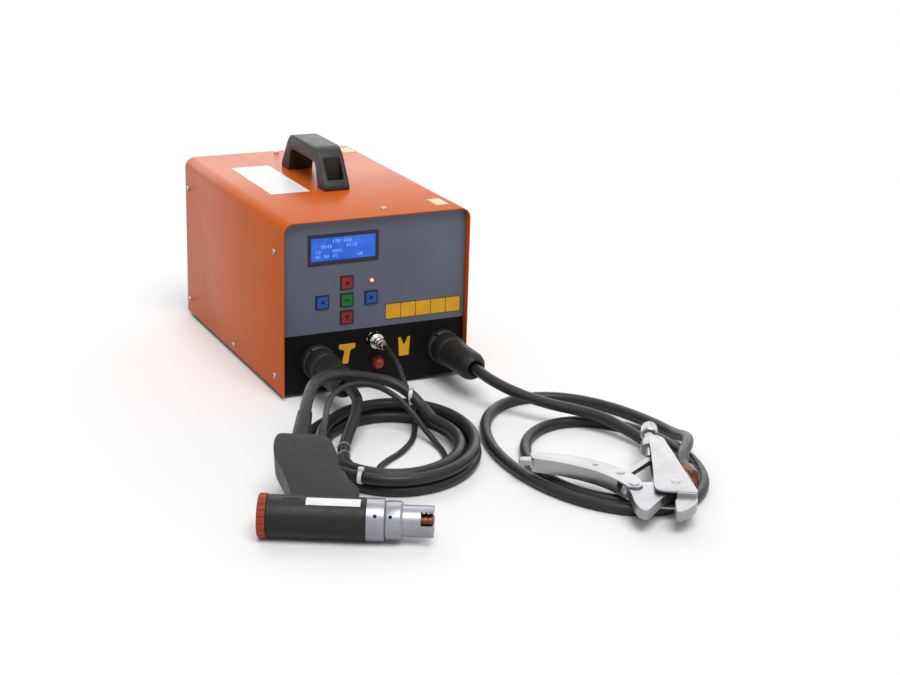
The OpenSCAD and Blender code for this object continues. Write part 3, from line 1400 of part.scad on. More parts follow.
cover();
base_pan();
front_panel();
fascia();
rear_panel();
screws();
feet();
carry_handle();
lcd_bezel();
lcd_glass();
control_board();
key_switches();
key_up();
key_ok();
key_down();
key_left();
key_right();
status_led();
button_body();
push_button();
weld_sockets();
weld_contacts();
control_socket();
capacitors();
bus_bars();
transformer_core();
transformer_coil();
heatsink();
thyristors();
fan_frame();
fan_rotor();
mains_inlet();
switch_body();
power_rocker();
gun_plug();
earth_plug();
control_plug();
gun_cable();
gun_coil();
control_cable();
earth_cable();
earth_coil();
gun_shell_left();
gun_shell_right();
gun_rear_cap();
gun_collar();
gun_nose();
gun_front_tube();
gun_plunger();
gun_chuck();
gun_spring();
gun_trigger();
gun_boot();
clamp_body();
clamp_jaw();
clamp_lever();
clamp_link();
release_lever();
clamp_adjuster();
cable_lug();
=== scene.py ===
import math

import bmesh
import bpy
from mathutils import Matrix, Vector
from mathutils.geometry import convex_hull_2d


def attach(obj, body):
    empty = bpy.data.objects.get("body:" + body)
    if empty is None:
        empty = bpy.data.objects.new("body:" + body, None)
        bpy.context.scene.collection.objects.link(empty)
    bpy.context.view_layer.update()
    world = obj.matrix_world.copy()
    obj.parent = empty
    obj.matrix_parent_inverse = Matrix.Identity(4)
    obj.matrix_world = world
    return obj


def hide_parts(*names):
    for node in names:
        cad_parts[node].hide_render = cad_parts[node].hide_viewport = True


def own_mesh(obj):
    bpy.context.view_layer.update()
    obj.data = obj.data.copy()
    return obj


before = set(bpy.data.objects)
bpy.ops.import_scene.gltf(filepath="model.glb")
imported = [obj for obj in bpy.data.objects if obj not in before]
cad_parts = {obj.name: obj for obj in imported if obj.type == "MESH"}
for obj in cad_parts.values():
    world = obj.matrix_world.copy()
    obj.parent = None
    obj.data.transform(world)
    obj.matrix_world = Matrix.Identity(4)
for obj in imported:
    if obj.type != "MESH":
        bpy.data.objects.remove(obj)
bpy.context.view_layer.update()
scene = bpy.context.scene
mm = 0.001  # pieces are drawn in millimetres and scaled once, when they are settled
tiny = 1e-4
print("frame loaded,", len(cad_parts), "parts")

viewpoint = {
    "place": (-0.85496, -2.14268, 0.78435),
    "right": (0.90019, -0.43464, 0.02721),
    "up": (0.1148, 0.29709, 0.94792),
    "lens": 68.83,
    "reach": 200.0,
}


def at(x, y, z=0.0):
    return Matrix.Translation((x, y, z))


def turnAbout(degrees, axis):
    return Matrix.Rotation(math.radians(degrees), 4, axis)


toUp, toDown = turnAbout(-90, "Y"), turnAbout(90, "Y")  # where local X goes


def makeCamera(look):
    right = Vector(look["right"]).normalized()
    up = Vector(look["up"])
    up = (up - right * up.dot(right)).normalized()
    lens = bpy.data.cameras.new("photoCamera")
    lens.lens = look["lens"]
    lens.clip_end = look["reach"]
    camera = bpy.data.objects.new("photoCamera", lens)
    turn = Matrix((right, up, right.cross(up))).transposed().to_4x4()
    camera.matrix_world = at(*look["place"]) @ turn
    scene.collection.objects.link(camera)
    scene.camera = camera


makeCamera(viewpoint)
scene.view_settings.view_transform = "Standard"
print("camera placed")


def linear(color):
    parts = [c / 255.0 for c in color]
    return [p / 12.92 if p <= 0.04045 else ((p + 0.055) / 1.055) ** 2.4 for p in parts] + [1.0]


# Sets a node's inputs by name. A value that is another node's output is linked.
def fillNode(tree, node, **values):
    for name, value in values.items():
        socket = node.inputs[name.replace("_", " ")]
        if isinstance(value, bpy.types.NodeSocket):
            tree.links.new(value, socket)
        else:
            socket.default_value = value
    return node


def addNode(tree, kind, **values):
    return fillNode(tree, tree.nodes.new("ShaderNode" + kind), **values)


patchEnds = (0.36, 0.68)  # where a finish turns from its colour into its shade


# One finish: two close colours in soft patches, uneven gloss and a fine grain, all on Object coordinates.
def makeFinish(name, color, shade, patches, rough, grain, relief, more=None):
    more = more or {}
    material = bpy.data.materials.new(name)
    material.use_nodes = True
    tree = material.node_tree
    whole = addNode(tree, "TexCoord").outputs["Object"]
    turn = [math.radians(a) for a in more.get("turn", (0, 0, 0))]
    mapping = addNode(tree, "Mapping", Vector=whole, Rotation=turn, Scale=more.get("stretch", (1, 1, 1)))
    spot = mapping.outputs["Vector"]
    mottle = addNode(tree, "TexNoise", Vector=spot, Scale=patches, Detail=5.0, Roughness=0.6)
    ramp = addNode(tree, "ValToRGB", Fac=mottle.outputs["Fac"])
    for stop, place, tint in zip(ramp.color_ramp.elements, patchEnds, (color, shade)):
        stop.position, stop.color = place, linear(tint)
    surface = ramp.outputs["Color"]
    if "dust" in more:  # a thin film where a second noise is high
        dust, scale, most = more["dust"]
        film = addNode(tree, "TexNoise", Vector=whole, Scale=scale, Detail=6.0, Roughness=0.7)
        share = addNode(tree, "MapRange", Value=film.outputs["Fac"], From_Min=0.48, From_Max=0.8, To_Max=most)
        mix = addNode(tree, "Mix", Factor=share.outputs["Result"])
        mix.data_type = "RGBA"
        clean, dusty = (s for s in mix.inputs if s.type == "RGBA")
        tree.links.new(surface, clean)
        dusty.default_value = linear(dust)
        surface = [s for s in mix.outputs if s.type == "RGBA"][0]
    gloss = addNode(tree, "TexNoise", Vector=spot, Scale=patches * 6.0, Detail=3.0)
    spread = addNode(tree, "MapRange", Value=gloss.outputs["Fac"], From_Min=0.3, From_Max=0.7, To_Min=rough[0],
                     To_Max=rough[1])
    if "rings" in more:  # tool marks of a lathe, across the turned axis
        marks = addNode(tree, "TexWave", Vector=spot, Scale=more["rings"], Distortion=0.6, Detail=2.0)
        marks.bands_direction = "X"
    else:
        marks = addNode(tree, "TexNoise", Vector=spot, Scale=grain, Detail=2.0)
    bump = addNode(tree, "Bump", Height=marks.outputs["Fac"], Strength=relief, Distance=more.get("depth", 0.0001))
    shader = fillNode(tree, tree.nodes["Principled BSDF"], Base_Color=surface, Roughness=spread.outputs["Result"],
                      Normal=bump.outputs["Normal"], Metallic=more.get("metal", 0.0),
                      Specular_IOR_Level=more.get("specular", 0.5))
    if "glow" in more:
        fillNode(tree, shader, Emission_Color=surface, Emission_Strength=more["glow"])
    return material


gunTurn = (0, 0, 27.5)  # brings the gun's axis onto X for the lathe marks
# colour, shade, patches, roughness, grain and relief, then what only some have
looks = {
    "orangePaint": ((200, 93, 26), (193, 88, 23), 5, (0.28, 0.33), 320, 0.02, {"specular": 0.065}),
    "blackPaint": ((13, 10, 9), (20, 16, 14), 16, (0.42, 0.58), 1400, 0.15, {"specular": 0.12}),
    "greyFascia": ((96, 100, 116), (90, 94, 108), 9, (0.38, 0.48), 2600, 0.12, {"specular": 0.35}),
    "zincSteel": ((176, 178, 180), (150, 153, 158), 30, (0.28, 0.45), 1500, 0.1, {"metal": 1.0}),
    "platedSteel": ((163, 162, 166), (150, 148, 150), 22, (0.28, 0.35), 900, 0.012,
                    {"metal": 0.95, "dust": ((146, 128, 112), 40, 0.1)}),
    "blackRubber": ((20, 20, 21), (27, 27, 29), 40, (0.45, 0.62), 1800, 0.2,
                    {"specular": 0.3, "dust": ((84, 80, 74), 35, 0.08), "depth": 0.0002}),
    "cableRubber": ((25, 25, 28), (33, 33, 37), 22, (0.36, 0.5), 1300, 0.15,
                    {"specular": 0.36, "dust": ((90, 88, 88), 28, 0.07), "depth": 0.0002}),
    "blackPlastic": ((30, 28, 28), (38, 35, 34), 14, (0.4, 0.52), 1600, 0.35, {"specular": 0.4, "depth": 0.0002}),
    "gunPlastic": ((17, 16, 16), (23, 22, 23), 18, (0.38, 0.52), 1500, 0.2,
                   {"specular": 0.3, "dust": ((104, 102, 100), 30, 0.07)}),
    "redPlastic": ((176, 38, 25), (162, 32, 21), 60, (0.25, 0.36), 1800, 0.1),
    "keyRed": ((150, 36, 32), (136, 30, 28), 90, (0.34, 0.46), 2200, 0.15, {"specular": 0.35}),
    "keyGreen": ((20, 118, 50), (16, 106, 44), 90, (0.34, 0.46), 2200, 0.15, {"specular": 0.35}),
    "keyBlue": ((34, 88, 168), (28, 80, 154), 90, (0.34, 0.46), 2200, 0.15, {"specular": 0.35}),
    "keyEdge": ((26, 24, 30), (34, 31, 38), 90, (0.4, 0.55), 2200, 0.15, {"specular": 0.3}),
    "orangePlastic": ((150, 62, 30), (130, 52, 26), 50, (0.4, 0.55), 1500, 0.25,
                      {"specular": 0.25, "dust": ((84, 46, 32), 90, 0.4), "depth": 0.0002}),
    "turnedAluminium": ((157, 159, 166), (141, 142, 149), 30, (0.28, 0.4), 0, 0.08,
                        {"rings": 900, "metal": 0.9, "turn": gunTurn, "dust": ((140, 128, 120), 45, 0.22)}),
    "chromePlate": ((214, 212, 208), (188, 184, 180), 80, (0.12, 0.24), 1200, 0.06, {"metal": 1.0}),
    "copperTint": ((108, 68, 52), (82, 54, 44), 60, (0.28, 0.45), 1400, 0.12, {"metal": 1.0}),
    "brassTint": ((196, 158, 92), (170, 132, 74), 60, (0.25, 0.4), 1400, 0.1, {"metal": 1.0}),
    "displayBlue": ((34, 88, 200), (52, 108, 218), 26, (0.12, 0.2), 2400, 0.03, {"glow": 0.3, "specular": 0.3}),
    "displayText": ((150, 186, 246), (138, 176, 240), 90, (0.2, 0.3), 2400, 0.02, {"glow": 0.5}),
    "lampRed": ((255, 120, 110), (255, 190, 180), 300, (0.1, 0.2), 2400, 0.02, {"glow": 1.0}),
    "signYellow": ((226, 168, 32), (214, 156, 26), 50, (0.4, 0.5), 2400, 0.08, {"specular": 0.3}),
    "paleSticker": ((203, 180, 106), (199, 171, 99), 30, (0.3, 0.42), 2200, 0.06),
    "labelWhite": ((232, 231, 234), (222, 221, 226), 18, (0.36, 0.5), 2600, 0.08),
    "labelGrey": ((150, 150, 158), (164, 164, 172), 60, (0.4, 0.5), 2600, 0.05),
    "tieWhite": ((226, 226, 230), (212, 212, 218), 70, (0.3, 0.42), 1800, 0.1),
    "tieGrey": ((150, 152, 156), (132, 134, 140), 70, (0.35, 0.5), 1800, 0.1),
    "boardGreen": ((26, 86, 48), (20, 70, 40), 60, (0.35, 0.5), 1600, 0.1),
    "canSleeve": ((44, 74, 128), (38, 66, 116), 30, (0.3, 0.4), 900, 0.08),
    "coreSteel": ((92, 92, 94), (76, 74, 72), 60, (0.4, 0.6), 900, 0.4,
                  {"metal": 0.8, "stretch": (1, 8, 1), "depth": 0.0003}),
    "winding": ((146, 84, 48), (120, 66, 38), 50, (0.35, 0.5), 600, 0.5, {"stretch": (1, 1, 6), "depth": 0.0004}),
}
finishes = {name: makeFinish(name, *look) for name, look in looks.items()}
black, rubber = ("blackPlastic", "black_plastic"), ("blackRubber", "black_rubber")  # finish and slot
steel, zinc = ("platedSteel", "plated_steel"), ("zincSteel", "zinc_steel")
print("finishes mixed:", len(finishes))


def asObject(bm, name):
    mesh = bpy.data.meshes.new(name)
    bm.to_mesh(mesh)
    bm.free()
    made = bpy.data.objects.new(name, mesh)
    scene.collection.objects.link(made)
    return made


# Brings a finished shape into the frame, gives it its finish and lets it ride on its body.
def settle(bm, name, finish, slot, replaces=(), body="machine", place=None, smooth=38):
    if place is not None:
        bmesh.ops.transform(bm, matrix=place, verts=bm.verts[:])
    bmesh.ops.scale(bm, vec=(mm, mm, mm), verts=bm.verts[:])
    piece = asObject(bm, name)
    piece.data.shade_smooth()
    piece.data.set_sharp_from_angle(angle=math.radians(smooth))
    piece.data.materials.append(finishes[finish])
    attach(piece, body)
    if replaces:
        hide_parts(*replaces)
    return piece


# Gives a second finish to the faces that pass a test on their middle and normal, in metres.
def repaint(piece, finish, test):
    piece.data.materials.append(finishes[finish])
    for face in piece.data.polygons:
        if test(face.center, face.normal):
            face.material_index = len(piece.data.materials) - 1


def soften(bm, width, segments=2, angle=35.0, test=None):
    edges = [e for e in bm.edges if len(e.link_faces) == 2 and e.calc_face_angle(0.0) > math.radians(angle)]
    if test is not None:
        edges = [e for e in edges if test(*e.verts)]
    bmesh.ops.bevel(bm, geom=edges, offset=width, offset_type="OFFSET", affect="EDGES", segments=segments,
                    profile=0.5, material=-1, clamp_overlap=True)
    return bm


def flatEdge(a, b):
    return abs(a.co.z - b.co.z) < tiny


def faceOut(bm):
    bmesh.ops.recalc_face_normals(bm, faces=bm.faces[:])


def slide(bm, drawn, vec):  # moves the points that an extrusion has just made
    bmesh.ops.translate(bm, vec=vec, verts=[g for g in drawn["geom"] if isinstance(g, bmesh.types.BMVert)])
    faceOut(bm)


def roundCorners(bm, corners, radius, steps):
    bmesh.ops.bevel(bm, geom=corners, offset=radius, affect="VERTICES", segments=steps, profile=0.5, material=-1,
                    clamp_overlap=True)


def oblong(x0, x1, y0, y1):
    return [(x0, y0), (x1, y0), (x1, y1), (x0, y1)]


# A plate from its outline: corners rounded in the plane, then drawn up and its rims rounded.
def slab(points, low, high, corner=0.0, rim=0.0, steps=5):
    bm = bmesh.new()
    corners = [bm.verts.new((*p, low)) for p in points]
    bm.faces.new(corners)
    radii = corner if isinstance(corner, (list, tuple)) else [corner] * len(corners)
    for radius in sorted({r for r in radii if r > 0}):
        roundCorners(bm, [v for v, r in zip(corners, radii) if r == radius], radius, steps)
    slide(bm, bmesh.ops.extrude_face_region(bm, geom=bm.faces[:]), (0, 0, high - low))
    if rim:
        soften(bm, rim, 3, 35, flatEdge)
    return bm


def block(low, high, rim=0.0):
    bm = bmesh.new()
    bmesh.ops.create_cube(bm, size=1.0)
    low, high = Vector(low), Vector(high)
    bmesh.ops.scale(bm, vec=high - low, verts=bm.verts[:])
    bmesh.ops.translate(bm, vec=(low + high) / 2, verts=bm.verts[:])
    return soften(bm, rim) if rim else bm


# A turned shape about X from (along, radius) points. A profile that ends off the axis is closed on itself.
def turned(profile, steps, rim=0.0):
    bm = bmesh.new()
    points = [bm.verts.new((x, r, 0.0)) for x, r in profile]
    edges = [bm.edges.new(pair) for pair in zip(points, points[1:])]
    if max(profile[0][1], profile[-1][1]) > tiny:
        edges.append(bm.edges.new((points[-1], points[0])))
    bmesh.ops.spin(bm, geom=points + edges, cent=(0, 0, 0), axis=(1, 0, 0), angle=math.tau, steps=steps,
                   use_merge=True)
    bmesh.ops.remove_doubles(bm, verts=bm.verts[:], dist=tiny)
    faceOut(bm)
    return soften(bm, rim) if rim else bm


def rod(start, end, radius, steps):
    return turned([(start, 0), (start, radius), (end, radius), (end, 0)], steps)


def hexagon(radius, deep, place):
    bm = bmesh.new()
    bmesh.ops.create_cone(bm, cap_ends=True, segments=6, radius1=radius, radius2=radius, depth=deep, matrix=place)
    return bm


def moved(bm, matrix):
    bmesh.ops.transform(bm, matrix=matrix, verts=bm.verts[:])
    return bm


def joined(*shapes):
    whole = bmesh.new()
    for shape in shapes:
        spare = bpy.data.meshes.new("spare")
        shape.to_mesh(spare)
        shape.free()
        whole.from_mesh(spare)
        bpy.data.meshes.remove(spare)
    return whole


def carve(bm, cutter, operation="DIFFERENCE"):
    body, tool = asObject(bm, "carveBody"), asObject(cutter, "carveTool")
    cut = body.modifiers.new("cut", "BOOLEAN")
    cut.object, cut.operation, cut.solver = tool, operation, "EXACT"
    bpy.context.view_layer.update()
    result = bmesh.new()
    shaped = body.evaluated_get(bpy.context.evaluated_depsgraph_get())
    result.from_mesh(shaped.to_mesh())
    shaped.to_mesh_clear()
    for spare in (body, tool):
        mesh = spare.data
        bpy.data.objects.remove(spare)
        bpy.data.meshes.remove(mesh)
    bmesh.ops.remove_doubles(result, verts=result.verts[:], dist=tiny)
    return result


# A merged copy of a part's own mesh with its sharp edges broken, in millimetres.
def edgeBroken(node, width):
    bm = bmesh.new()
    bm.from_mesh(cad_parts[node].data)
    bmesh.ops.scale(bm, vec=(1 / mm, 1 / mm, 1 / mm), verts=bm.verts[:])
    bmesh.ops.remove_doubles(bm, verts=bm.verts[:], dist=10 * tiny)
    bmesh.ops.dissolve_limit(bm, angle_limit=math.radians(0.5), verts=bm.verts[:], edges=bm.edges[:])
    return soften(bm, width)


gunFrame = at(-295, -565, 24) @ turnAbout(-27.5, "Z") @ turnAbout(18, "X")
clampFrame = at(150, -682, 26.5) @ turnAbout(-25.8, "Z") @ turnAbout(2, "X")
screwPlace = at(-21, 76.5) @ turnAbout(83.6, "Z")  # the adjusting screw's axis, in the clamp
screwFrame = clampFrame @ screwPlace
spineFrame = clampFrame @ at(21.6, -24) @ turnAbout(98.59, "Z")
lugAxis = -9.8  # the lug's barrel lies this far behind the spine
panel, fascia = -190.0, -191.0  # faces of the black tray and the grey plate


def outOfFront(x, y, z):  # local X runs out of the front panel
    return at(x, y, z) @ turnAbout(-90, "Z")


def onFront(y):  # local X and Y lie on the front panel, local Z points out of it
    return Matrix(((1, 0, 0, 0), (0, 0, -1, y), (0, 1, 0, 0), (0, 0, 0, 1)))


# Cords come first. Their routes are the ones that the solids follow.
weldCable = {"radius": 7.0, "step": 15.0, "run": 14.0, "start": 8.0}
controlRadius = 3.5
gunCoil = {"middle": (-71.0, -416.0), "turn": -25.0, "short": 76.0, "long": 102.0, "first": 225.0,
           "out": 1.57, "turns": 3.46, "tuck": 0.7, "tuckTurn": 0.2, "rings": 60}
earthCoil = {"middle": (147.5, -567.0), "wide": 78.5, "deep": 84.5, "turns": 1.95, "wideStep": 21.5,
             "deepStep": 60.0, "shift": (-0.5, 34.0), "rings": 60}
gunEntry = {"y": 118.0, "sleeves": ((31.0, 56.0, 11.0, 8.5), (55.0, 24.0, 5.6, 4.6))}


def smoothRoute(points, steps=5):
    points = [Vector(p) for p in points]
    route = [points[0]]
    for a, b, c, d in zip(points, points[1:], points[2:], points[3:]):
        for i in range(steps):
            s = i / steps
            route.append(0.5 * (2 * b + (c - a) * s + (2 * a - 5 * b + 4 * c - d) * s ** 2
                                + (3 * b - a - 3 * c + d) * s ** 3))
    return route + points[-2:]


def gunCoilPoint(t, c=gunCoil):
    out, half, thick = c["out"], 0.5, weldCable["step"]
    step = t if t < out else 2 * out + half - t if t > out + half else out + 0.25 - 4 * (t - out - 0.25) ** 2
    for left in (t, c["turns"] - t):
        step -= c["tuck"] * max(0.0, 1 - left / c["tuckTurn"]) ** 2
    s = min(1.0, max(0.0, (t - out) / half))
    a, turn = math.radians(c["first"] + 360 * t), math.radians(c["turn"])
    u, v = (c["short"] + step * thick) * math.cos(a), (c["long"] + step * thick) * math.sin(a)
    return Vector((c["middle"][0] + u * math.cos(turn) - v * math.sin(turn),
                   c["middle"][1] + u * math.sin(turn) + v * math.cos(turn),
                   weldCable["radius"] + thick * s * s * (3 - 2 * s)))


def earthCoilPoint(t, c=earthCoil):
    (x, y), (dx, dy), a = c["middle"], c["shift"], -math.tau * t
    return Vector((x + dx * t + (c["wide"] + c["wideStep"] * t) * math.cos(a),
                   y + dy * t + (c["deep"] + c["deepStep"] * t) * math.sin(a), weldCable["radius"]))


def entryPoints(index, straight):  # a cord's last stretch into one of the two sleeves on the grip
    x, length = gunEntry["sleeves"][index][:2]
    return [gunFrame @ Vector((x, gunEntry["y"] + length + more, 0)) for more in (straight, 0)]


def coilRoute(point, turns, rings, run=weldCable["run"]):  # a coil with a short straight run at both ends
    start, end = ((point(t + 0.001) - point(t - 0.001)).normalized() for t in (0, turns))
    body = [point(i / rings) for i in range(int(turns * rings) + 1)] + [point(turns)]
    return [body[0] - run * start] + body + [body[-1] + run * end], start, end


def cordCurve(name, route, radius, nodesStoodFor):
    curve = bpy.data.curves.new(name, "CURVE")
    curve.dimensions = "3D"
    curve.bevel_depth = radius * mm
    curve.bevel_resolution = 5
    curve.use_fill_caps = True
    apart = 0.05  # points closer than this are dropped
    clean = [route[0]] + [b for a, b in zip(route, route[1:]) if (b - a).length > apart]
    spline = curve.splines.new("POLY")
    spline.points.add(len(clean) - 1)
    for knot, place in zip(spline.points, clean):
        knot.co = (*(place * mm), 1.0)
    spline.use_smooth = True
    cord = bpy.data.objects.new(name, curve)
    scene.collection.objects.link(cord)
    curve.materials.append(finishes["cableRubber"])
    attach(cord, "machine")
    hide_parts(*nodesStoodFor)
    return cord, sum((b - a).length for a, b in zip(clean, clean[1:])) * mm


coil, coilIn, coilOut = coilRoute(gunCoilPoint, gunCoil["turns"], gunCoil["rings"])
gunLead = [(-80, -290.3, 46), (-80, -304.3, 46), (-84, -332, 42), (-97, -356, 31), (-115, -378, 19),
           (-130, -401, 10), coil[0] - weldCable["run"] * coilIn, coil[0]]
gunTail = [coil[-1], coil[-1] + weldCable["start"] * coilOut, (-6, -353, 31), (-15, -335, 43), (-31, -320, 54),
           (-55, -313, 61), (-84, -319, 70), (-112, -335, 80), (-139, -358, 88), (-163, -386, 91)]
gunTail += entryPoints(0, 16)
gunRoute = smoothRoute(gunLead) + coil + smoothRoute(gunTail)
gunCord, gunLength = cordCurve("gunCable", gunRoute, weldCable["radius"], ["gun_cable", "gun_coil"])

controlRoute = smoothRoute(
    [(-2, -228, 68), (-2, -238, 68), (-3, -270, 59), (-5, -296, 44), (-8, -317, 37), (-11, -335, 27),
     (-17, -356, 13), (-29, -379, 5), (-45, -400, 4), (-66, -420, 4), (-90, -437, 4), (-107, -453, 4),
     (-113, -471, 4), (-107, -487, 4), (-92, -497, 4), (-74, -499, 4), (-56, -493, 4), (-38, -478, 4),
     (-24, -458, 4), (-16, -434, 4), (-14, -410, 6), (-17, -386, 14), (-22, -365, 26), (-33, -346, 41),
     (-53, -334, 55), (-80, -337, 65), (-108, -356, 73), (-134, -386, 79), (-156, -417, 80)]
    + entryPoints(1, 14))
controlCord, controlLength = cordCurve("controlCable", controlRoute, controlRadius, ["control_cable"])

ring, ringIn, ringOut = coilRoute(earthCoilPoint, earthCoil["turns"], earthCoil["rings"])
earthLead = [(98, -290.3, 46), (98, -303.3, 46), (103, -322, 42), (115, -345, 36), (133, -370, 30), (154, -395, 26),
             (176, -419, 24), (197, -447, 21), (211, -479, 15), (220, -510, 10), ring[0] - weldCable["run"] * ringIn,
             ring[0]]


def lugPoint(along):
    return spineFrame @ Vector((along, lugAxis, 0))


earthTail = [ring[-1], ring[-1] + weldCable["start"] * ringOut, (268, -490, 8), (266, -511, 12), (260, -534, 19),
             (249, -556, 25), (235, -576, 28), (220, -593, 29.5), (207, -609, 29.5),
             lugPoint(93) + Vector((0, 0, -1)), lugPoint(83), lugPoint(77)]
earthRoute = smoothRoute(earthLead) + ring + smoothRoute(earthTail)
earthCord, earthLength = cordCurve("earthCable", earthRoute, weldCable["radius"], ["earth_cable", "earth_coil"])
print("cords laid:", round(gunLength, 2), round(controlLength, 2), round(earthLength, 2), "m")

coverSheet = {"half": 130.0, "front": -200.0, "depth": 400.0, "bottom": 6.0, "top": 235.0, "sheet": 1.5,
              "bend": 14.0, "steps": 14, "edge": 0.35}


def makeCover(s):
    bm = bmesh.new()
    half, low, top = s["half"], s["bottom"], s["top"]
    corners = [bm.verts.new((x, s["front"], z)) for x, z in ((-half, low), (-half, top), (half, top), (half, low))]
    bm.faces.new(corners)
    roundCorners(bm, corners[1:3], s["bend"], s["steps"])
    bmesh.ops.delete(bm, geom=bm.faces[:], context="FACES_ONLY")
    floorEdge = [e for e in bm.edges if all(v.co.z < low + 0.1 for v in e.verts)]
    bmesh.ops.delete(bm, geom=floorEdge, context="EDGES")
    slide(bm, bmesh.ops.extrude_edge_only(bm, edges=bm.edges[:]), (0, s["depth"], 0))
    outward = sum(f.normal.z * f.calc_area() for f in bm.faces if f.calc_center_median().z > top - 1)
    bmesh.ops.solidify(bm, geom=bm.faces[:], thickness=s["sheet"] if outward > 0 else -s["sheet"])
    faceOut(bm)
    soften(bm, s["edge"], 2, 60)
    settle(bm, "coverSheet", "orangePaint", "orange_paint", ["cover"], smooth=30)


makeCover(coverSheet)

handle = {"outline": [(-59, 0), (-59, 6), (-33, 45), (-21, 53), (67, 53), (79, 45), (105, 6), (105, 0), (78, 0),
                      (69, 33), (-23, 33), (-32, 0)],
          "corner": [0.8, 3, 7, 6, 6, 7, 3, 0.8, 0.8, 9, 9, 0.8], "half": 18.0, "rim": 2.4, "top": 235.0,
          "pockets": ((-54, -35.5), (81.5, 100)), "pocketHalf": 12.0, "pocketEdge": 1.6, "floor": 6.0}


def makeHandle(h):
    body = slab(h["outline"], -h["half"], h["half"], h["corner"], h["rim"], 6)
    moved(body, Matrix(((0, 0, 1, 0), (1, 0, 0, 0), (0, 1, 0, h["top"]), (0, 0, 0, 1))))
    for back, front in h["pockets"]:
        cutter = block((-h["pocketHalf"], back, h["top"] + h["floor"]), (h["pocketHalf"], front, h["top"] + 60))
        body = carve(body, soften(cutter, h["pocketEdge"], 3, 35, lambda a, b: not flatEdge(a, b)))
    settle(body, "carryHandle", *black, ["carry_handle"], smooth=32)


makeHandle(handle)

screwHead = {"radius": 4.0, "height": 2.4, "shank": 2.0, "length": 8.0, "slot": 0.95, "slotLength": 4.6,
             "slotDepth": 1.2}
handleScrew = {"shank": (-13.5, 3.0), "head": 5.1, "height": 4.0, "socket": 2.3, "nut": (-10.0, 5.7), "deep": 5.0}
caseScrews = {"sides": ((-168, 26), (-168, 192), (189, 26), (189, 192), (-6, 16)), "half": 130.0, "top": 235.0,
              "tops": ((20, -168), (5, 189)), "pan": 6.0,
              "under": [(x, y) for x in (-90, 0, 90) for y in (-168, 189)],
              "feet": [(x, y) for x in (-96, 96) for y in (-150, 150)], "footFloor": 3.5, "handle": (-42, 88),
              "slotTurn": (25, 37)}
gripScrews = {"spots": ((18, 96), (62, 92), (48, 62), (64, 36)), "seat": -13.6,
              "screw": dict(screwHead, radius=3.2, shank=1.5, length=21.6, slot=0.8, slotLength=3.6)}


def panScrew(s):
    r, h, end, shank = s["radius"], s["height"], -s["length"], s["shank"]
    bm = turned([(end, 0), (end, shank), (0, shank), (0, r), (h * 0.4, r), (h * 0.72, r * 0.9), (h * 0.93, r * 0.66),
                 (h, r * 0.36), (h, 0)], 28)
    for wide, deep in ((s["slotLength"], s["slot"]), (s["slot"], s["slotLength"])):
        bm = carve(bm, block((h - s["slotDepth"], -wide / 2, -deep / 2), (h + 1, wide / 2, deep / 2)))
    return bm


def socketScrew(s):  # button-headed handle screw with its nut under the sheet
    (end, shank), r, h, (place, nut) = s["shank"], s["head"], s["height"], s["nut"]
    head = turned([(end, 0), (end, shank), (0, shank), (0, r), (h - 1.4, r), (h - 0.4, r - 0.9), (h, r - 1.9),
                   (h, 0)], 32)
    head = carve(head, hexagon(s["socket"], s["deep"], at(h, 0) @ toDown))
    return joined(head, soften(hexagon(nut, s["deep"], at(place, 0) @ toDown), 0.4))


def makeScrews(s, grip):
    heads = []
    for y, z in s["sides"]:
        heads += [at(s["half"], y, z), at(-s["half"], y, z) @ turnAbout(180, "Z")]
    heads += [at(x, y, s["top"]) @ toUp for x, y in s["tops"]]
    heads += [at(x, y, s["pan"]) @ toDown for x, y in s["under"]]
    heads += [at(x, y, s["footFloor"]) @ toDown for x, y in s["feet"]]
    first, more = s["slotTurn"]
    shapes = [moved(panScrew(screwHead), m @ turnAbout(first + more * i, "X")) for i, m in enumerate(heads)]
    shapes += [moved(socketScrew(handleScrew), at(0, y, s["top"] + handle["floor"]) @ toUp) for y in s["handle"]]
    shapes += [moved(panScrew(grip["screw"]), gunFrame @ at(x, y, grip["seat"]) @ toDown) for x, y in grip["spots"]]
    settle(joined(*shapes), "caseScrews", *zinc, ["screws"])


makeScrews(caseScrews, gripScrews)

foot = {"low": 12.5, "high": 14.0, "height": 6.0, "recess": 5.0, "depth": 3.5}


def makeFeet(f):
    low, high, tall, deep = f["low"], f["high"], f["height"], f["depth"]
    profile = [(deep, 0), (deep, f["recess"]), (0, f["recess"] + 0.5), (0, low - 0.6), (0.6, low), (tall - 0.8, high),
               (tall, high - 0.5), (tall, 0)]
    shapes = [moved(turned(profile, 40), at(x, y) @ toUp) for x, y in caseScrews["feet"]]
    settle(joined(*shapes), "rubberFeet", *rubber, ["feet"])


makeFeet(foot)
print("case, handle, screws and feet made")

display = {"x": (-93.5, 3.5), "z": (174.5, 214.5), "border": 4.0, "sill": 5.0, "front": -192.0, "back": -176.0,
           "glass": (-191.0, -189.6), "gap": 0.2, "corner": 1.2, "sunk": 2.4, "rim": 0.45, "paneRim": 0.15}
cells = {"step": (3.85, 6.4), "shift": (0.5, -0.7), "dot": 0.5, "pitch": 0.6, "proud": 0.05,
         "lines": ("      150 080       ", "  0045     0120     ", "12    0001          ", "08 00 45       60   ")}
digits = {"0": (14, 17, 19, 21, 25, 17, 14), "1": (4, 12, 4, 4, 4, 4, 14), "2": (14, 17, 1, 2, 4, 8, 31),
          "3": (31, 2, 4, 2, 1, 17, 14), "4": (2, 6, 10, 18, 31, 2, 2), "5": (31, 16, 30, 1, 1, 17, 14),
          "6": (6, 8, 16, 30, 17, 17, 14), "8": (14, 17, 17, 14, 17, 17, 14)}


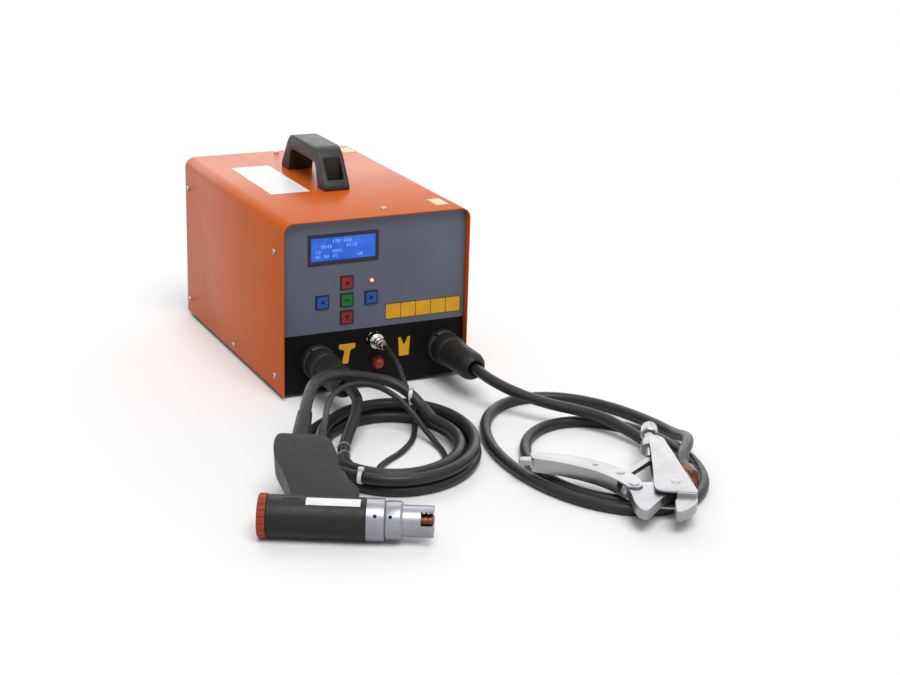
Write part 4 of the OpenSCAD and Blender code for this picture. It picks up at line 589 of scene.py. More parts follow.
def makeDisplay(d):
    (x0, x1), (z0, z1), b, gap = d["x"], d["z"], d["border"], d["gap"]
    depth = d["back"] - d["front"]
    sight = (x0 + b, x1 - b, z0 + d["sill"], z1 - b)
    bezel = carve(slab(oblong(x0, x1, z0, z1), 0, depth, d["corner"]),
                  slab(oblong(*sight), depth - d["sunk"], depth + 2, d["corner"] / 2))
    soften(bezel, d["rim"], 2, 50, lambda a, b: min(a.co.z, b.co.z) > depth - 0.1)
    settle(bezel, "displayBezel", *black, ["lcd_bezel"], place=onFront(d["back"]))
    near, far = d["glass"]
    outline = [edge + side * gap for edge, side in zip(sight, (1, -1, 1, -1))]
    pane = slab(oblong(*outline), 0, far - near, 0.4, d["paneRim"])
    settle(pane, "displayPane", "displayBlue", "display_glass", ["lcd_glass"], place=onFront(far))


def makeDigits(d, c):
    bm = bmesh.new()
    (wide, high), pitch, lines = c["step"], c["pitch"], c["lines"]
    left = sum(d["x"]) / 2 - len(lines[0]) * wide / 2 + c["shift"][0]
    top = sum(d["z"]) / 2 + len(lines) * high / 2 + c["shift"][1]
    for row, line in enumerate(lines):
        for column, mark in enumerate(line):
            for i, bits in enumerate(digits.get(mark, ())):
                for j in range(5):
                    if bits & (16 >> j):
                        spot = at(left + column * wide + j * pitch, top - row * high - i * pitch)
                        bmesh.ops.create_grid(bm, x_segments=1, y_segments=1, size=c["dot"] / 2, matrix=spot)
    settle(bm, "displayDigits", "displayText", "display_glass", place=onFront(d["glass"][0] - c["proud"]))


makeDisplay(display)
makeDigits(display, cells)

keyCap = {"size": 18.2, "corner": 2.2, "front": -192.6, "back": -187.95, "rim": 0.5, "border": 1.5, "slope": 0.35,
          "dish": 0.3, "mark": 0.12, "stem": (8.0, 3.0), "flange": (1.2, 1.25)}
keySpots = {"up": (-40.0, 148.3, "keyRed", "red_plastic"), "ok": (-40.0, 125.0, "keyGreen", "green_plastic"),
            "down": (-40.0, 101.7, "keyRed", "red_plastic"), "left": (-74.0, 125.0, "keyBlue", "blue_plastic"),
            "right": (-6.0, 125.0, "keyBlue", "blue_plastic")}
keyMarks = {"up": [(-3.6, -2.8), (3.6, -2.8), (0, 3.6)], "down": [(-3.6, 2.8), (0, -3.6), (3.6, 2.8)],
            "left": [(2.8, -3.4), (2.8, 3.4), (-3.6, 0)], "right": [(-2.8, -3.4), (3.6, 0), (-2.8, 3.4)],
            "ok": oblong(-4.4, 4.4, -1, 1)}


def makeKey(name, k):
    x, z, finish, slot = keySpots[name]
    half, depth = k["size"] / 2, k["back"] - k["front"]
    cap = slab(oblong(-half, half, -half, half), 0, depth, k["corner"])
    front = [f for f in cap.faces if f.normal.z > 0.9]
    for inset, sink in ((k["border"], 0.0), (k["slope"], -k["dish"])):
        bmesh.ops.inset_region(cap, faces=front, thickness=inset, depth=sink, use_even_offset=True)
    soften(cap, k["rim"], 2, 60, lambda a, b: min(a.co.z, b.co.z) > depth - 0.05)
    out, thick = k["flange"]
    flange = block((-half - out, -half - out, -thick), (half + out, half + out, 0), 0.2)
    deep, stem = k["stem"]
    whole = joined(cap, flange, moved(rod(-deep, 0, stem, 20), toUp))
    piece = settle(whole, name + "KeyCap", "keyEdge", slot, ["key_" + name], name + "_key",
                   onFront(k["back"]) @ at(x, z))
    inner = half - k["border"] - 0.2
    repaint(piece, finish, lambda c, n: n.y < -0.5 and abs(c.x / mm - x) < inner and abs(c.z / mm - z) < inner
            and c.y / mm < k["back"] - 3)
    settle(slab(keyMarks[name], 0, k["mark"], 0.5), name + "KeyMark", "keyEdge", slot, body=name + "_key",
           place=onFront(k["front"] + k["dish"]) @ at(x, z))


for keyName in keySpots:
    makeKey(keyName, keyCap)
print("display and keys made")

statusLamp = {"x": -6.0, "z": 148.3, "radius": 2.5, "proud": 1.5}


def makeLamp(s):
    r, p, place = s["radius"], s["proud"], outOfFront(s["x"], fascia, s["z"])
    lens = turned([(-3, 0), (-3, r), (p, r), (p + r * 0.5, r * 0.87), (p + r * 0.87, r * 0.5), (p + r, 0)], 32)
    settle(lens, "statusLens", "lampRed", "led_lens", ["status_led"], place=place)
    collar = turned([(0, r + 0.1), (0, r + 1.4), (0.5, r + 1.3), (0.8, r + 0.8), (0.8, r + 0.1)], 36)
    settle(collar, "statusCollar", "redPlastic", "red_plastic", place=place)


makeLamp(statusLamp)

pushButton = {"x": 4.0, "z": 35.0, "bezel": 9.3, "bezelDeep": 4.0, "cap": 7.3, "tip": 12.65,
              "shank": (-6.0, 3.2, 3.0)}


def makePushButton(b):
    r, out, deep, place = b["cap"], b["bezel"], b["bezelDeep"], outOfFront(b["x"], panel, b["z"])
    bezel = turned([(0, r + 0.1), (0, out), (deep - 1.2, out), (deep - 0.3, out - 0.7), (deep, r + 0.9),
                    (deep - 0.6, r + 0.1)], 48, 0.15)
    settle(bezel, "buttonBezel", *black, ["button_body"], place=place)
    dome = [(b["tip"] - r + r * math.sin(math.radians(a)), r * math.cos(math.radians(a))) for a in range(0, 90, 10)]
    x0, x1, shank = b["shank"]
    cap = turned([(x0, 0), (x0, shank), (x1, shank), (x1, r)] + dome + [(b["tip"], 0)], 48)
    settle(cap, "pushButtonCap", "redPlastic", "red_plastic", ["push_button"], "red_button", place)


makePushButton(pushButton)

weldPlug = {"xs": (-80.0, 98.0), "z": 46.0, "flange": 23.0, "bore": 11.1, "notch": ((6, -2.2, 20.4), (12, 2.2, 26)),
            "notchTurn": 35, "sleeveBack": -200.3, "collar": 21.5, "collarLong": 22.0, "waist": 19.5, "seam": 63.0}


def makeWeldPlugs(p):
    flanges = []
    f, b = p["flange"], p["bore"]
    for x in p["xs"]:
        shape = turned([(0, b), (0, f), (7.5, f), (9.2, f - 0.8), (10, f - 2.2), (10, b)], 72)
        for i in range(2):  # two driver notches in the flange
            shape = carve(shape, moved(block(*p["notch"]), turnAbout(p["notchTurn"] + 180 * i, "X")))
        flanges.append(moved(shape, outOfFront(x, panel, p["z"])))
    settle(joined(*flanges), "socketFlanges", *black, ["weld_sockets"])
    w, c, s, n = p["waist"], p["collar"], p["seam"], p["collarLong"]
    profile = [(0, 10.1), (0, c - 1.2), (1.2, c), (n - 1.5, c), (n, c - 0.5), (n + 2, w), (s - 1.6, w - 0.6),
               (s - 1, w - 1.6), (s + 1, w - 1.6), (s + 1.6, w - 0.4), (s + 14, w - 0.6), (s + 19, w - 1.8),
               (s + 23, w - 4), (s + 25.8, w - 6.6), (s + 27, w - 8.5), (s + 26.2, 9.2), (s + 22, 8.2),
               (s + 22, 7.05), (24, 7.05), (24, 10.1)]
    for name, x in zip(("gun", "earth"), p["xs"]):
        settle(turned(profile, 72), name + "PlugSleeve", *rubber, [name + "_plug"],
               place=outOfFront(x, p["sleeveBack"], p["z"]), smooth=32)


makeWeldPlugs(weldPlug)

controlPlug = {"x": -2.0, "z": 68.0, "nut": 10.5, "bore": 8.15, "ring": 10.0, "shell": 7.0, "gland": 5.5}


def makeControlPlug(c):
    place = outOfFront(c["x"], panel, c["z"])
    n, b, r, s, g = c["nut"], c["bore"], c["ring"], c["shell"], c["gland"]
    nut = turned([(0, 8.1), (0, n), (2.4, n), (3, n - 0.7), (3, 8.1)], 6)
    ridges = [(3.25 + 0.5 * i, 8 if i % 2 else 7.6) for i in range(10)]
    thread = turned([(3, 6.5), (3, 8)] + ridges + [(8, 7.6), (8, 6.5)], 40)
    settle(joined(nut, thread), "controlSocket", "chromePlate", "zinc_steel", ["control_socket"], place=place)
    grip = turned([(3.4, b), (3.4, r - 0.5), (3.9, r), (13.6, r), (14.6, r - 0.9), (15, b)], 80)
    shell = turned([(14.6, 0), (14.6, s + 1.2), (15.6, s + 1.2), (16.4, s), (22, s), (22.6, s - 0.7), (23.4, s - 0.7),
                    (24, s), (28.2, s), (29, s - 0.6), (29, 0)], 48)
    gland = turned([(29, 0), (29, g), (34.5, g), (36.5, g - 0.9), (38, g - 1.6), (38, 0)], 32)
    settle(joined(grip, shell, gland), "controlPlug", "chromePlate", "zinc_steel", ["control_plug"], place=place)


makeControlPlug(controlPlug)
print("lamp, button and plugs made")

signs = {"strip": ((14.0, 123.0), (92.0, 113.5)), "cells": 5, "line": 0.9, "thick": 0.14, "plate": 0.06, "sign": 0.16}
gunSign = [(-50, 65), (-27, 65), (-27, 59), (-34, 56), (-37, 38), (-46, 38), (-42, 56), (-50, 59)]
clampSign = [(34, 65), (37.6, 65), (41.6, 55), (43.4, 55), (47.4, 65), (51, 65), (49.5, 39), (35.5, 39)]


def makeSigns(s):
    ((x0, x1), (z0, z1)), line, thick = s["strip"], s["line"], s["thick"]
    backing = slab(oblong(x0, x1, z0, z1), 0, thick, 0.6)
    settle(backing, "stripBacking", "keyEdge", "grey_fascia", place=onFront(fascia))
    wide = (x1 - x0 - line * (s["cells"] + 1)) / s["cells"]
    lefts = [x0 + line + i * (wide + line) for i in range(s["cells"])]
    plates = [slab(oblong(x, x + wide, z0 + line, z1 - line), thick, thick + s["plate"], 0.4) for x in lefts]
    settle(joined(*plates), "stripCells", "signYellow", "grey_fascia", place=onFront(fascia))
    pair = joined(slab(gunSign, 0, s["sign"], 1.2), slab(clampSign, 0, s["sign"], 0.8))
    settle(pair, "socketSigns", "signYellow", "black_paint", place=onFront(panel))


makeSigns(signs)

topLabel = {"x": (-90.0, -35.0), "y": (-49.0, 113.0), "top": 235.0, "thick": 0.15, "rows": 16, "margin": (5.0, 12.0),
            "rule": (0.35, 0.03), "stickers": ((102, -158), (108, 172)), "sticker": (9, 16, 0.12)}


def makeTopLabel(t):
    (x0, x1), (y0, y1), top = t["x"], t["y"], t["top"]
    face = top + t["thick"]
    settle(slab(oblong(x0, x1, y0, y1), top, face, 1.0), "topLabel", "labelWhite", "orange_paint")
    (side, end), (half, high) = t["margin"], t["rule"]
    rows = [y0 + end + i * (y1 - y0 - 2 * end) / (t["rows"] - 1) for i in range(t["rows"])]  # a blank ruled sheet
    rules = [block((x0 + side, y - half, face), (x1 - side, y + half, face + high)) for y in rows]
    settle(joined(*rules), "topLabelRules", "labelGrey", "orange_paint")
    wide, deep, thick = t["sticker"]
    stickers = [slab(oblong(x - wide, x + wide, y - deep, y + deep), top, top + thick, 1.0) for x, y in t["stickers"]]
    settle(joined(*stickers), "paleStickers", "paleSticker", "orange_paint")


makeTopLabel(topLabel)
print("signs and labels made")

gunShell = {"grip": [(36, 10), (24, 46), (5.5, 85), (4.5, 109), (8.5, 118), (54, 118), (66, 112), (75.5, 88),
                     (79, 68), (85, 54), (93, 43), (101, 36), (105, 28), (105, 10)],
            "corner": [0, 14, 12, 6, 4, 7, 9, 9, 8, 6, 5, 5, 3, 0], "half": 16.0, "rim": 4.0, "barrel": (9.5, 114.5),
            "radius": 23.0, "bore": 20.0, "seam": 0.12, "slot": ((69.2, 49.2, -6.4), (110, 70.8, 6.4))}


def makeGunShell(g):
    (x0, x1), r = g["barrel"], g["radius"]
    grip = slab(g["grip"], -g["half"], g["half"], g["corner"], g["rim"])
    barrel = turned([(x0, 0), (x0, r - 0.6), (x0 + 0.6, r), (x1 - 0.5, r), (x1, r - 0.5), (x1, 0)], 96)
    whole = carve(barrel, grip, "UNION")
    for cutter in (rod(x0 - 5, x1 + 5, g["bore"], 64), block(*g["slot"])):
        whole = carve(whole, cutter)
    for side, name in ((1, "Left"), (-1, "Right")):
        half = whole.copy()
        cut = bmesh.ops.bisect_plane(half, geom=half.verts[:] + half.edges[:] + half.faces[:], dist=tiny / 10,
                                     plane_co=(0, 0, side * g["seam"]), plane_no=(0, 0, -side), clear_outer=True)
        rims = [e for e in cut["geom_cut"] if isinstance(e, bmesh.types.BMEdge)]
        bmesh.ops.holes_fill(half, edges=rims, sides=0)
        faceOut(half)
        settle(half, "gunShell" + name, "gunPlastic", "gun_plastic", ["gun_shell_" + name.lower()], place=gunFrame,
               smooth=30)
    whole.free()


makeGunShell(gunShell)

gunCap = {"radius": 24.0, "length": 9.2, "notches": 20, "notch": 1.6}


def makeGunCap(c):
    r, n, notch = c["radius"], c["length"], c["notch"]
    cap = turned([(0, 0), (0, r - 1.6), (0.5, r - 0.6), (1.4, r), (n - 0.8, r), (n, r - 0.6), (n, 0)], 120)
    for i in range(c["notches"]):
        place = turnAbout(i * 360 / c["notches"], "X") @ at(0, 0, r + notch / 3)
        cap = carve(cap, moved(rod(-1, n + 2, notch, 16), place))
    face = turned([(-0.02, 0), (-0.02, r - 5), (0.4, r - 4.6), (0.4, 0)], 64)
    settle(joined(cap, face), "gunRearCap", "orangePlastic", "orange_plastic", ["gun_rear_cap"], "rear_cap", gunFrame,
           30)


makeGunCap(gunCap)

gunNose = {"collar": (114.5, 134.0, 23.0), "ring": (134.0, 153.0, 21.0), "tube": (143.0, 186.0, 17.0, 14.0),
           "angle": 39.0, "slots": 3, "slot": (14.0, 15.0), "hole": 2.0, "screw": 1.96, "holes": (124.25, 140.3)}


def acrossNose(x, r):  # local X runs outwards through the screw holes
    return turnAbout(gunNose["angle"], "X") @ at(x, 0, r) @ toUp


def makeGunNose(g):
    made = []
    x0, x1, r = g["collar"]
    t0, t1, t, inner = g["tube"]
    made.append(turned([(x0, 6.1), (x0, r - 0.5), (x0 + 0.5, r), (x1 - 0.7, r), (x1, r - 0.7), (x1, 6.1)], 96))
    x0, x1, r = g["ring"]
    made.append(turned([(x0, 12), (x0, r - 1.25), (x0 + 2.5, r), (x1 - 2.5, r), (x1, r - 2.5), (x1, t + 0.1),
                        (t0, t + 0.1), (t0, 12)], 96))
    screws = []
    for i, (x, r) in enumerate(zip(g["holes"], (g["collar"][2], g["ring"][2]))):  # set screws sunk in their holes
        made[i] = carve(made[i], moved(rod(-4, 3, g["hole"], 24), acrossNose(x, r)))
        screws.append(moved(rod(-3.9, -0.8, g["screw"], 24), acrossNose(x, r)))
    tube = turned([(t0, inner), (t0, t), (t1 - 0.6, t), (t1, t - 0.6), (t1, inner + 0.5), (t1 - 0.5, inner)], 96)
    deep, wide = g["slot"]
    for i in range(g["slots"]):
        slotCut = block((t1 - deep, -wide / 2, 0), (t1 + 2, wide / 2, t + 3))
        tube = carve(tube, moved(slotCut, turnAbout(g["angle"] + i * 360 / g["slots"], "X")))
    for shape, name, node in zip(made + [tube], ("gunCollar", "gunNoseRing", "gunFrontTube"),
                                 ("gun_collar", "gun_nose", "gun_front_tube")):
        settle(shape, name, "turnedAluminium", "turned_aluminium", [node], place=gunFrame, smooth=30)
    settle(joined(*screws), "gunSetScrews", "blackPaint", "turned_aluminium", place=gunFrame)


makeGunNose(gunNose)

gunPlunger = {"chuck": (149.0, 185.0, 9.0), "bore": (4.0, 14.0), "grooves": 6, "groove": 5.0,
              "piston": (58.0, 66.0, 19.0), "rod": 6.0}


def makeGunPlunger(g):
    x0, x1, r = g["chuck"]
    profile = [(x0, 0), (x0, r)]
    for i in range(1, g["grooves"] + 1):
        x = x0 + g["groove"] * i
        profile += [(x, r), (x + 0.3, r - 1), (x + 1.2, r - 1), (x + 1.5, r)]
    b, deep = g["bore"]
    profile += [(x1 - 0.8, r), (x1, r - 0.8), (x1, b + 0.5), (x1 - 0.5, b), (x1 - deep, b), (x1 - deep, 0)]
    settle(turned(profile, 48), "gunChuck", "copperTint", "copper", ["gun_chuck"], "plunger", gunFrame)
    (p0, p1, p), thin = g["piston"], g["rod"]
    piston = turned([(p0, 0), (p0, p - 0.5), (p0 + 0.5, p), (p1 - 0.5, p), (p1, p - 0.5), (p1, thin), (x0, thin),
                     (x0, 0)], 48)
    settle(piston, "gunPlunger", *zinc, ["gun_plunger"], "plunger", gunFrame)


makeGunPlunger(gunPlunger)

gunSpring = {"start": 13.8, "end": 56.7, "radius": 10.0, "wire": 1.0, "turns": 8, "rings": 28, "seat": 12.5,
             "keep": 0.82}


def makeGunSpring(s):
    bm = bmesh.new()
    bmesh.ops.create_circle(bm, segments=10, radius=s["wire"], matrix=at(s["start"], s["radius"]))
    bmesh.ops.spin(bm, geom=bm.verts[:] + bm.edges[:], cent=(0, 0, 0), axis=(1, 0, 0), angle=math.tau * s["turns"],
                   dvec=((s["end"] - s["start"]) / (s["turns"] * s["rings"]), 0, 0), steps=s["turns"] * s["rings"])
    bmesh.ops.holes_fill(bm, edges=[e for e in bm.edges if e.is_boundary], sides=0)
    faceOut(bm)
    piece = settle(bm, "gunSpring", *zinc, ["gun_spring"], place=gunFrame)
    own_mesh(piece)


makeGunSpring(gunSpring)

gunTrigger = {"points": [(74, 50), (93, 50), (89.5, 60), (84.5, 70), (74, 70)], "low": -6.0, "high": 6.0,
              "corner": [0, 2.5, 6, 2.5, 0], "rim": 1.2}
settle(slab(**gunTrigger), "gunTrigger", *black, ["gun_trigger"], "trigger", gunFrame)


def makeGunBoot(e):
    sleeves = []
    for x, length, base, tip in e["sleeves"]:
        shape = turned([(0, 0), (0, base), (length * 0.35, base - 0.3 * (base - tip)), (length - 1.6, tip),
                        (length - 0.5, tip - 0.3), (length, tip - 0.9), (length, 0)], 48)
        sleeves.append(moved(shape, at(x, e["y"]) @ turnAbout(90, "Z")))
    settle(joined(*sleeves), "gunBoot", *rubber, ["gun_boot"], place=gunFrame)


makeGunBoot(gunEntry)

# slot is a black patch of painted shade standing in for a slit in the barrel that is not cut; dot is a black dot
# beside it
gunMarks = {"radius": 23.0, "label": (51.0, 108.5, 75.0, 104.0), "slot": (31.0, 44.0, 79.0, 86.0),
            "dot": (27.0, 29.6, 79.5, 85.5), "labelProud": 0.12, "markProud": 0.06}


def barrelPatch(spec, radius):  # thin patch that follows the barrel, from its ends along and round it
    bm = bmesh.new()
    x0, x1, a0, a1 = spec
    start = math.radians(a0)
    ends = [bm.verts.new((x, radius * math.cos(start), radius * math.sin(start))) for x in (x0, x1)]
    bmesh.ops.spin(bm, geom=ends + [bm.edges.new(ends)], cent=(0, 0, 0), axis=(1, 0, 0),
                   angle=math.radians(a1 - a0), steps=10)
    faceOut(bm)
    if sum(f.normal.z for f in bm.faces) < 0:
        bmesh.ops.reverse_faces(bm, faces=bm.faces[:])
    return bm


def makeGunMarks(g):
    label = barrelPatch(g["label"], g["radius"] + g["labelProud"])
    settle(label, "gunLabel", "labelWhite", "gun_plastic", place=gunFrame)
    # black patches on the barrel: the slit's black is painted shade in place of a cut groove, plus a black dot
    slotShadeAndDot = joined(*(barrelPatch(g[mark], g["radius"] + g["markProud"]) for mark in ("slot", "dot")))
    settle(slotShadeAndDot, "gunSlotShadeAndDot", "blackPaint", "gun_plastic", place=gunFrame)


makeGunMarks(gunMarks)

cableTies = {"middle": (-71.0, -416.0), "gap": 0.15, "thick": 0.8, "sides": 24, "bands": {
    "highTie": (54.0, ((97.7, 41.6, 7.0), (102.9, 28.4, 3.5), (116.4, 22.0, 7.0)), 4.6, "tieWhite"),
    "lowTie": (-132.0, ((122.6, 22.0, 7.0),), 4.6, "tieWhite"),
    "leadRing": (162.0, ((60.1, 11.0, 7.0),), 3.0, "tieGrey"),
    "leadRingLow": (178.0, ((64.3, 8.0, 7.0),), 3.0, "tieGrey")}}


def makeTie(name, c):
    angle, strands, wide, finish = c["bands"][name]
    bm = bmesh.new()
    loops = []
    for out in (c["gap"], c["gap"] + c["thick"]):
        around = [math.tau * k / c["sides"] for k in range(c["sides"])]
        spots = [(u + (r + out) * math.cos(a), z + (r + out) * math.sin(a)) for u, z, r in strands for a in around]
        loop = [bm.verts.new((spots[i][0], -wide / 2, spots[i][1])) for i in convex_hull_2d(spots)]
        loops += [bm.edges.new(pair) for pair in zip(loop, loop[1:] + loop[:1])]
    bmesh.ops.bridge_loops(bm, edges=loops)
    slide(bm, bmesh.ops.extrude_face_region(bm, geom=bm.faces[:]), (0, wide, 0))
    if finish == "tieWhite":  # the tie's head sits on its highest strand
        u, z, r = strands[0]
        bm = joined(bm, block((u - 3, -wide / 2 - 0.8, z + r + 0.2), (u + 3, wide / 2 + 0.8, z + r + 4.4), 0.6))
    settle(bm, name, finish, "cable_rubber", place=at(*c["middle"]) @ turnAbout(angle, "Z"))


for tieName in cableTies["bands"]:
    makeTie(tieName, cableTies)
print("stud gun made")

clampSheet = {"body": [(-18, 126), (-8, 128), (0, 119), (21.6, -24), (20, -28), (-23, -24), (-25, -13), (-21, 40),
                       (-18, 99)],
              "corner": [3, 4, 4, 3, 2, 6, 5, 18, 14], "half": 11.0, "sheet": 2.0, "bend": 3.0, "edge": 0.35,
              "inner": [(-40, 140), (-2.1, 140), (-2.1, 119), (19.5, -24), (18, -40), (-40, -40)],
              "lean": 0.151, "back": 15.0, "web": [(2, -20), (19.6, -20), (20.3, -29), (-2, -28)], "webSide": 0.6,
              "fixedJaw": [(-2.5, -27), (-3, -34), (-5, -38), (-6.5, -65), (0, -64.5), (8, -58), (15, -49), (20, -38),
                           (20.5, -27)],
              "jawCorner": [0.5, 1, 2, 1.2, 1.2, 3, 4, 4, 0.5], "jawHalf": 6.0, "jawRim": 0.7,
              "teeth": [(-5.3 + (y + 38) * 0.0556, y) for y in range(-41, -62, -4)], "toothTurn": 45,
              "rivet": (5.5, 1.2), "sleeve": (30.0, 50.0, 10.0), "neck": (68.0, 7.0), "bore": 4.1}


def rivet(x, y, half, r, height, shank=4.0):
    head = turned([(-half, 0), (-half, shank), (half, shank), (half, r), (half + height * 0.5, r * 0.92),
                   (half + height, r * 0.55), (half + height, 0)], 32)
    return joined(moved(head.copy(), at(x, y) @ toUp), moved(head, at(x, y) @ toDown))


def cutTeeth(jaw, spots, turn, half=0.9, deep=8.0):
    for x, y in spots:
        tooth = block((-half, -half, -deep), (half, half, deep))
        jaw = carve(jaw, moved(tooth, at(x, y) @ turnAbout(turn, "Z")))
    return jaw


def pinHole(bm, x, y, radius):
    return carve(bm, moved(rod(-9, 9, radius, 28), at(x, y) @ toDown))


def makeClampBody(c):
    half, sheet = c["half"], c["sheet"]

    def onSpine(a, b):
        return flatEdge(a, b) and all(v.co.x + v.co.y * c["lean"] > c["back"] for v in (a, b))

    channel = soften(slab(c["body"], -half, half, c["corner"]), c["bend"], 4, 35, onSpine)
    channel = carve(channel, slab(c["inner"], sheet - half, half - sheet))
    soften(channel, c["edge"], 2, 50)
    jaw = slab(c["fixedJaw"], -c["jawHalf"], c["jawHalf"], c["jawCorner"], c["jawRim"])
    jaw = cutTeeth(jaw, c["teeth"], c["toothTurn"])
    web = slab(c["web"], c["webSide"] - half, half - c["webSide"], 1.0, 0.6)
    (x0, x1, r), (end, neck), bore = c["sleeve"], c["neck"], c["bore"]
    sleeve = turned([(x0, bore), (x0, r - 1), (x0 + 6, r), (x1 - 2, r), (x1, r - 0.8), (x1 + 2, neck + 0.6),
                     (x1 + 4, neck), (end - 1.2, neck), (end, neck - 1.2), (end, bore)], 48)
    whole = joined(channel, jaw, web, moved(sleeve, screwPlace), rivet(0, 0, half, *c["rivet"]))
    settle(whole, "clampBody", *steel, ["clamp_body"], place=clampFrame, smooth=32)


makeClampBody(clampSheet)

clampJaw = {"outline": [(-46, 5), (0, 11), (9, 6), (11, 0), (6, -9), (-12, -22), (-18, -32), (-35, -62), (-40, -65),
                        (-45, -60), (-50, -44), (-51, -20), (-54, -8), (-54, 0)],
            "corner": [3, 4, 4, 4, 4, 6, 6, 2, 1.5, 2, 8, 8, 3, 3], "half": 6.0, "rim": 0.8,
            "teeth": [(-21 - 2.1 * i, -37.5 - 3.7 * i) for i in range(7)], "toothTurn": 15,
            "rivet": (-46, -4, 9.0, 5.5, 1.2)}


def makeClampJaw(c):
    jaw = cutTeeth(slab(c["outline"], -c["half"], c["half"], c["corner"], c["rim"]), c["teeth"], c["toothTurn"])
    settle(joined(jaw, rivet(*c["rivet"])), "clampJaw", *steel, ["clamp_jaw"], "jaw", clampFrame, 32)


makeClampJaw(clampJaw)

clampLever = {"outer": [(-53, -11), (-66, 8), (-82, 24), (-104, 38), (-130, 50), (-156, 57)],
              "inner": [(-158, 74), (-130, 72), (-104, 66), (-82, 56), (-66, 44), (-50, 31), (-38, 8), (-36, -6),
                        (-42, -13)],
              "corner": [3, 9, 9, 9, 9, 4, 4, 10, 10, 8, 8, 8, 6, 4, 3],
              "open": [(-175, 60), (-175, 90), (-60, 90), (-20, 20), (-20, -30), (-56, -30)],
              "half": 8.5, "sheet": 2.0, "bend": 2.4, "bendReach": 1.2, "edge": 0.35,
              "pins": ((-58.5, 25, 4.6, 1.2, 3.5), (-85, 46, 3.4, 1.0, 2.5))}


def makeClampLever(c):
    half, sheet = c["half"], c["sheet"]
    runs = [(Vector(a), Vector(b)) for a, b in zip(c["outer"], c["outer"][1:])]

    def onBack(v):
        return min((v.co.xy - a).length + (v.co.xy - b).length - (a - b).length for a, b in runs) < c["bendReach"]

    channel = slab(c["outer"] + c["inner"], -half, half, c["corner"])
    soften(channel, c["bend"], 4, 35, lambda a, b: flatEdge(a, b) and onBack(a) and onBack(b))
    hollow = [(x + sheet / 2, y + sheet) for x, y in c["outer"][1:]] + c["open"]
    channel = carve(channel, slab(hollow, sheet - half, half - sheet))
    soften(channel, c["edge"], 2, 50)
    pins = [rivet(x, y, half, *pin) for x, y, *pin in c["pins"]]
    settle(joined(channel, *pins), "clampLever", *steel, ["clamp_lever"], "lever", clampFrame, 32)


makeClampLever(clampLever)

clampLink = {"ends": ((-58.5, 25), (-21, 76.5)), "half": 3.0, "wide": 9.0, "neck": 8.0, "hole": 3.55, "round": 4.4}


def makeClampLink(c):
    (ax, ay), (bx, by) = c["ends"]
    far, w, n = math.hypot(bx - ax, by - ay), c["wide"] / 2, c["neck"] / 2
    lower = [(-w, -w), (4, -w), (6, -n), (far - 6, -n), (far - 4, -w), (far + w, -w)]
    corner = [c["round"], 1, 1, 1, 1, c["round"]] * 2
    bar = slab(lower + [(x, -y) for x, y in reversed(lower)], -c["half"], c["half"], corner, 0.6)
    place = clampFrame @ at(ax, ay) @ Matrix.Rotation(math.atan2(by - ay, bx - ax), 4, "Z")
    settle(pinHole(bar, 0, 0, c["hole"]), "clampLink", *steel, ["clamp_link"], "link", place, 32)


makeClampLink(clampLink)

releaseLever = {"outline": [(-80, 40), (-79, 50), (-92, 55), (-130, 67), (-152, 72.5), (-169, 71.5), (-172, 63),
                            (-156, 62), (-131, 55.5), (-105, 44), (-92, 38)],
                "corner": [3, 3, 8, 10, 8, 3, 3, 6, 8, 8, 4], "half": 4.0, "rim": 1.2, "hole": (-85, 46, 2.55)}


def makeReleaseLever(r):
    arm = slab(r["outline"], -r["half"], r["half"], r["corner"], r["rim"])
    settle(pinHole(arm, *r["hole"]), "releaseLever", *steel, ["release_lever"], "release", clampFrame, 32)


makeReleaseLever(releaseLever)

clampScrew = {"rod": (9.0, 74.0, 4.0), "knob": (73.0, 95.0, 10.0), "knurls": 36, "knurl": 0.94, "pitch": 1.25}


def makeClampScrew(s):
    x0, x1, r = s["rod"]
    profile = [(x0, 0), (x0, r - 0.8), (x0 + 0.8, r)]
    x = x0 + 1.2
    while x < x1 - 1.4:  # thread drawn as close rings
        profile += [(x, r), (x + s["pitch"] / 2, r - 0.55)]
        x += s["pitch"]
    thread = turned(profile + [(x1, r), (x1, 0)], 32)
    k0, k1, k = s["knob"]
    knob = turned([(k0, 0), (k0, k - 1.6), (k0 + 1.6, k), (k0 + 3, k), (k1 - 3, k), (k1 - 1.6, k), (k1, k - 1.6),
                   (k1 - 0.4, k - 3), (k1 - 0.4, 0)], s["knurls"] * 2)
    for v in knob.verts:  # every second rib is drawn in
        rib = round(math.atan2(v.co.z, v.co.y) / math.tau * s["knurls"] * 2)
        if k0 + 2.5 < v.co.x < k1 - 2.5 and rib % 2:
            v.co.yz *= s["knurl"]
    settle(joined(thread, knob), "clampScrew", *steel, ["clamp_adjuster"], "adjuster", screwFrame, 28)


makeClampScrew(clampScrew)

cableLug = {"at": 42.0, "reach": (13.0, 15.0), "thick": 4.0, "high": 16.0, "gap": 0.3, "barrel": (55.0, 77.0, 9.5),
            "bore": 7.1, "bolt": (6.0, 11.0, 4.0), "nut": (6.5, 5.0)}


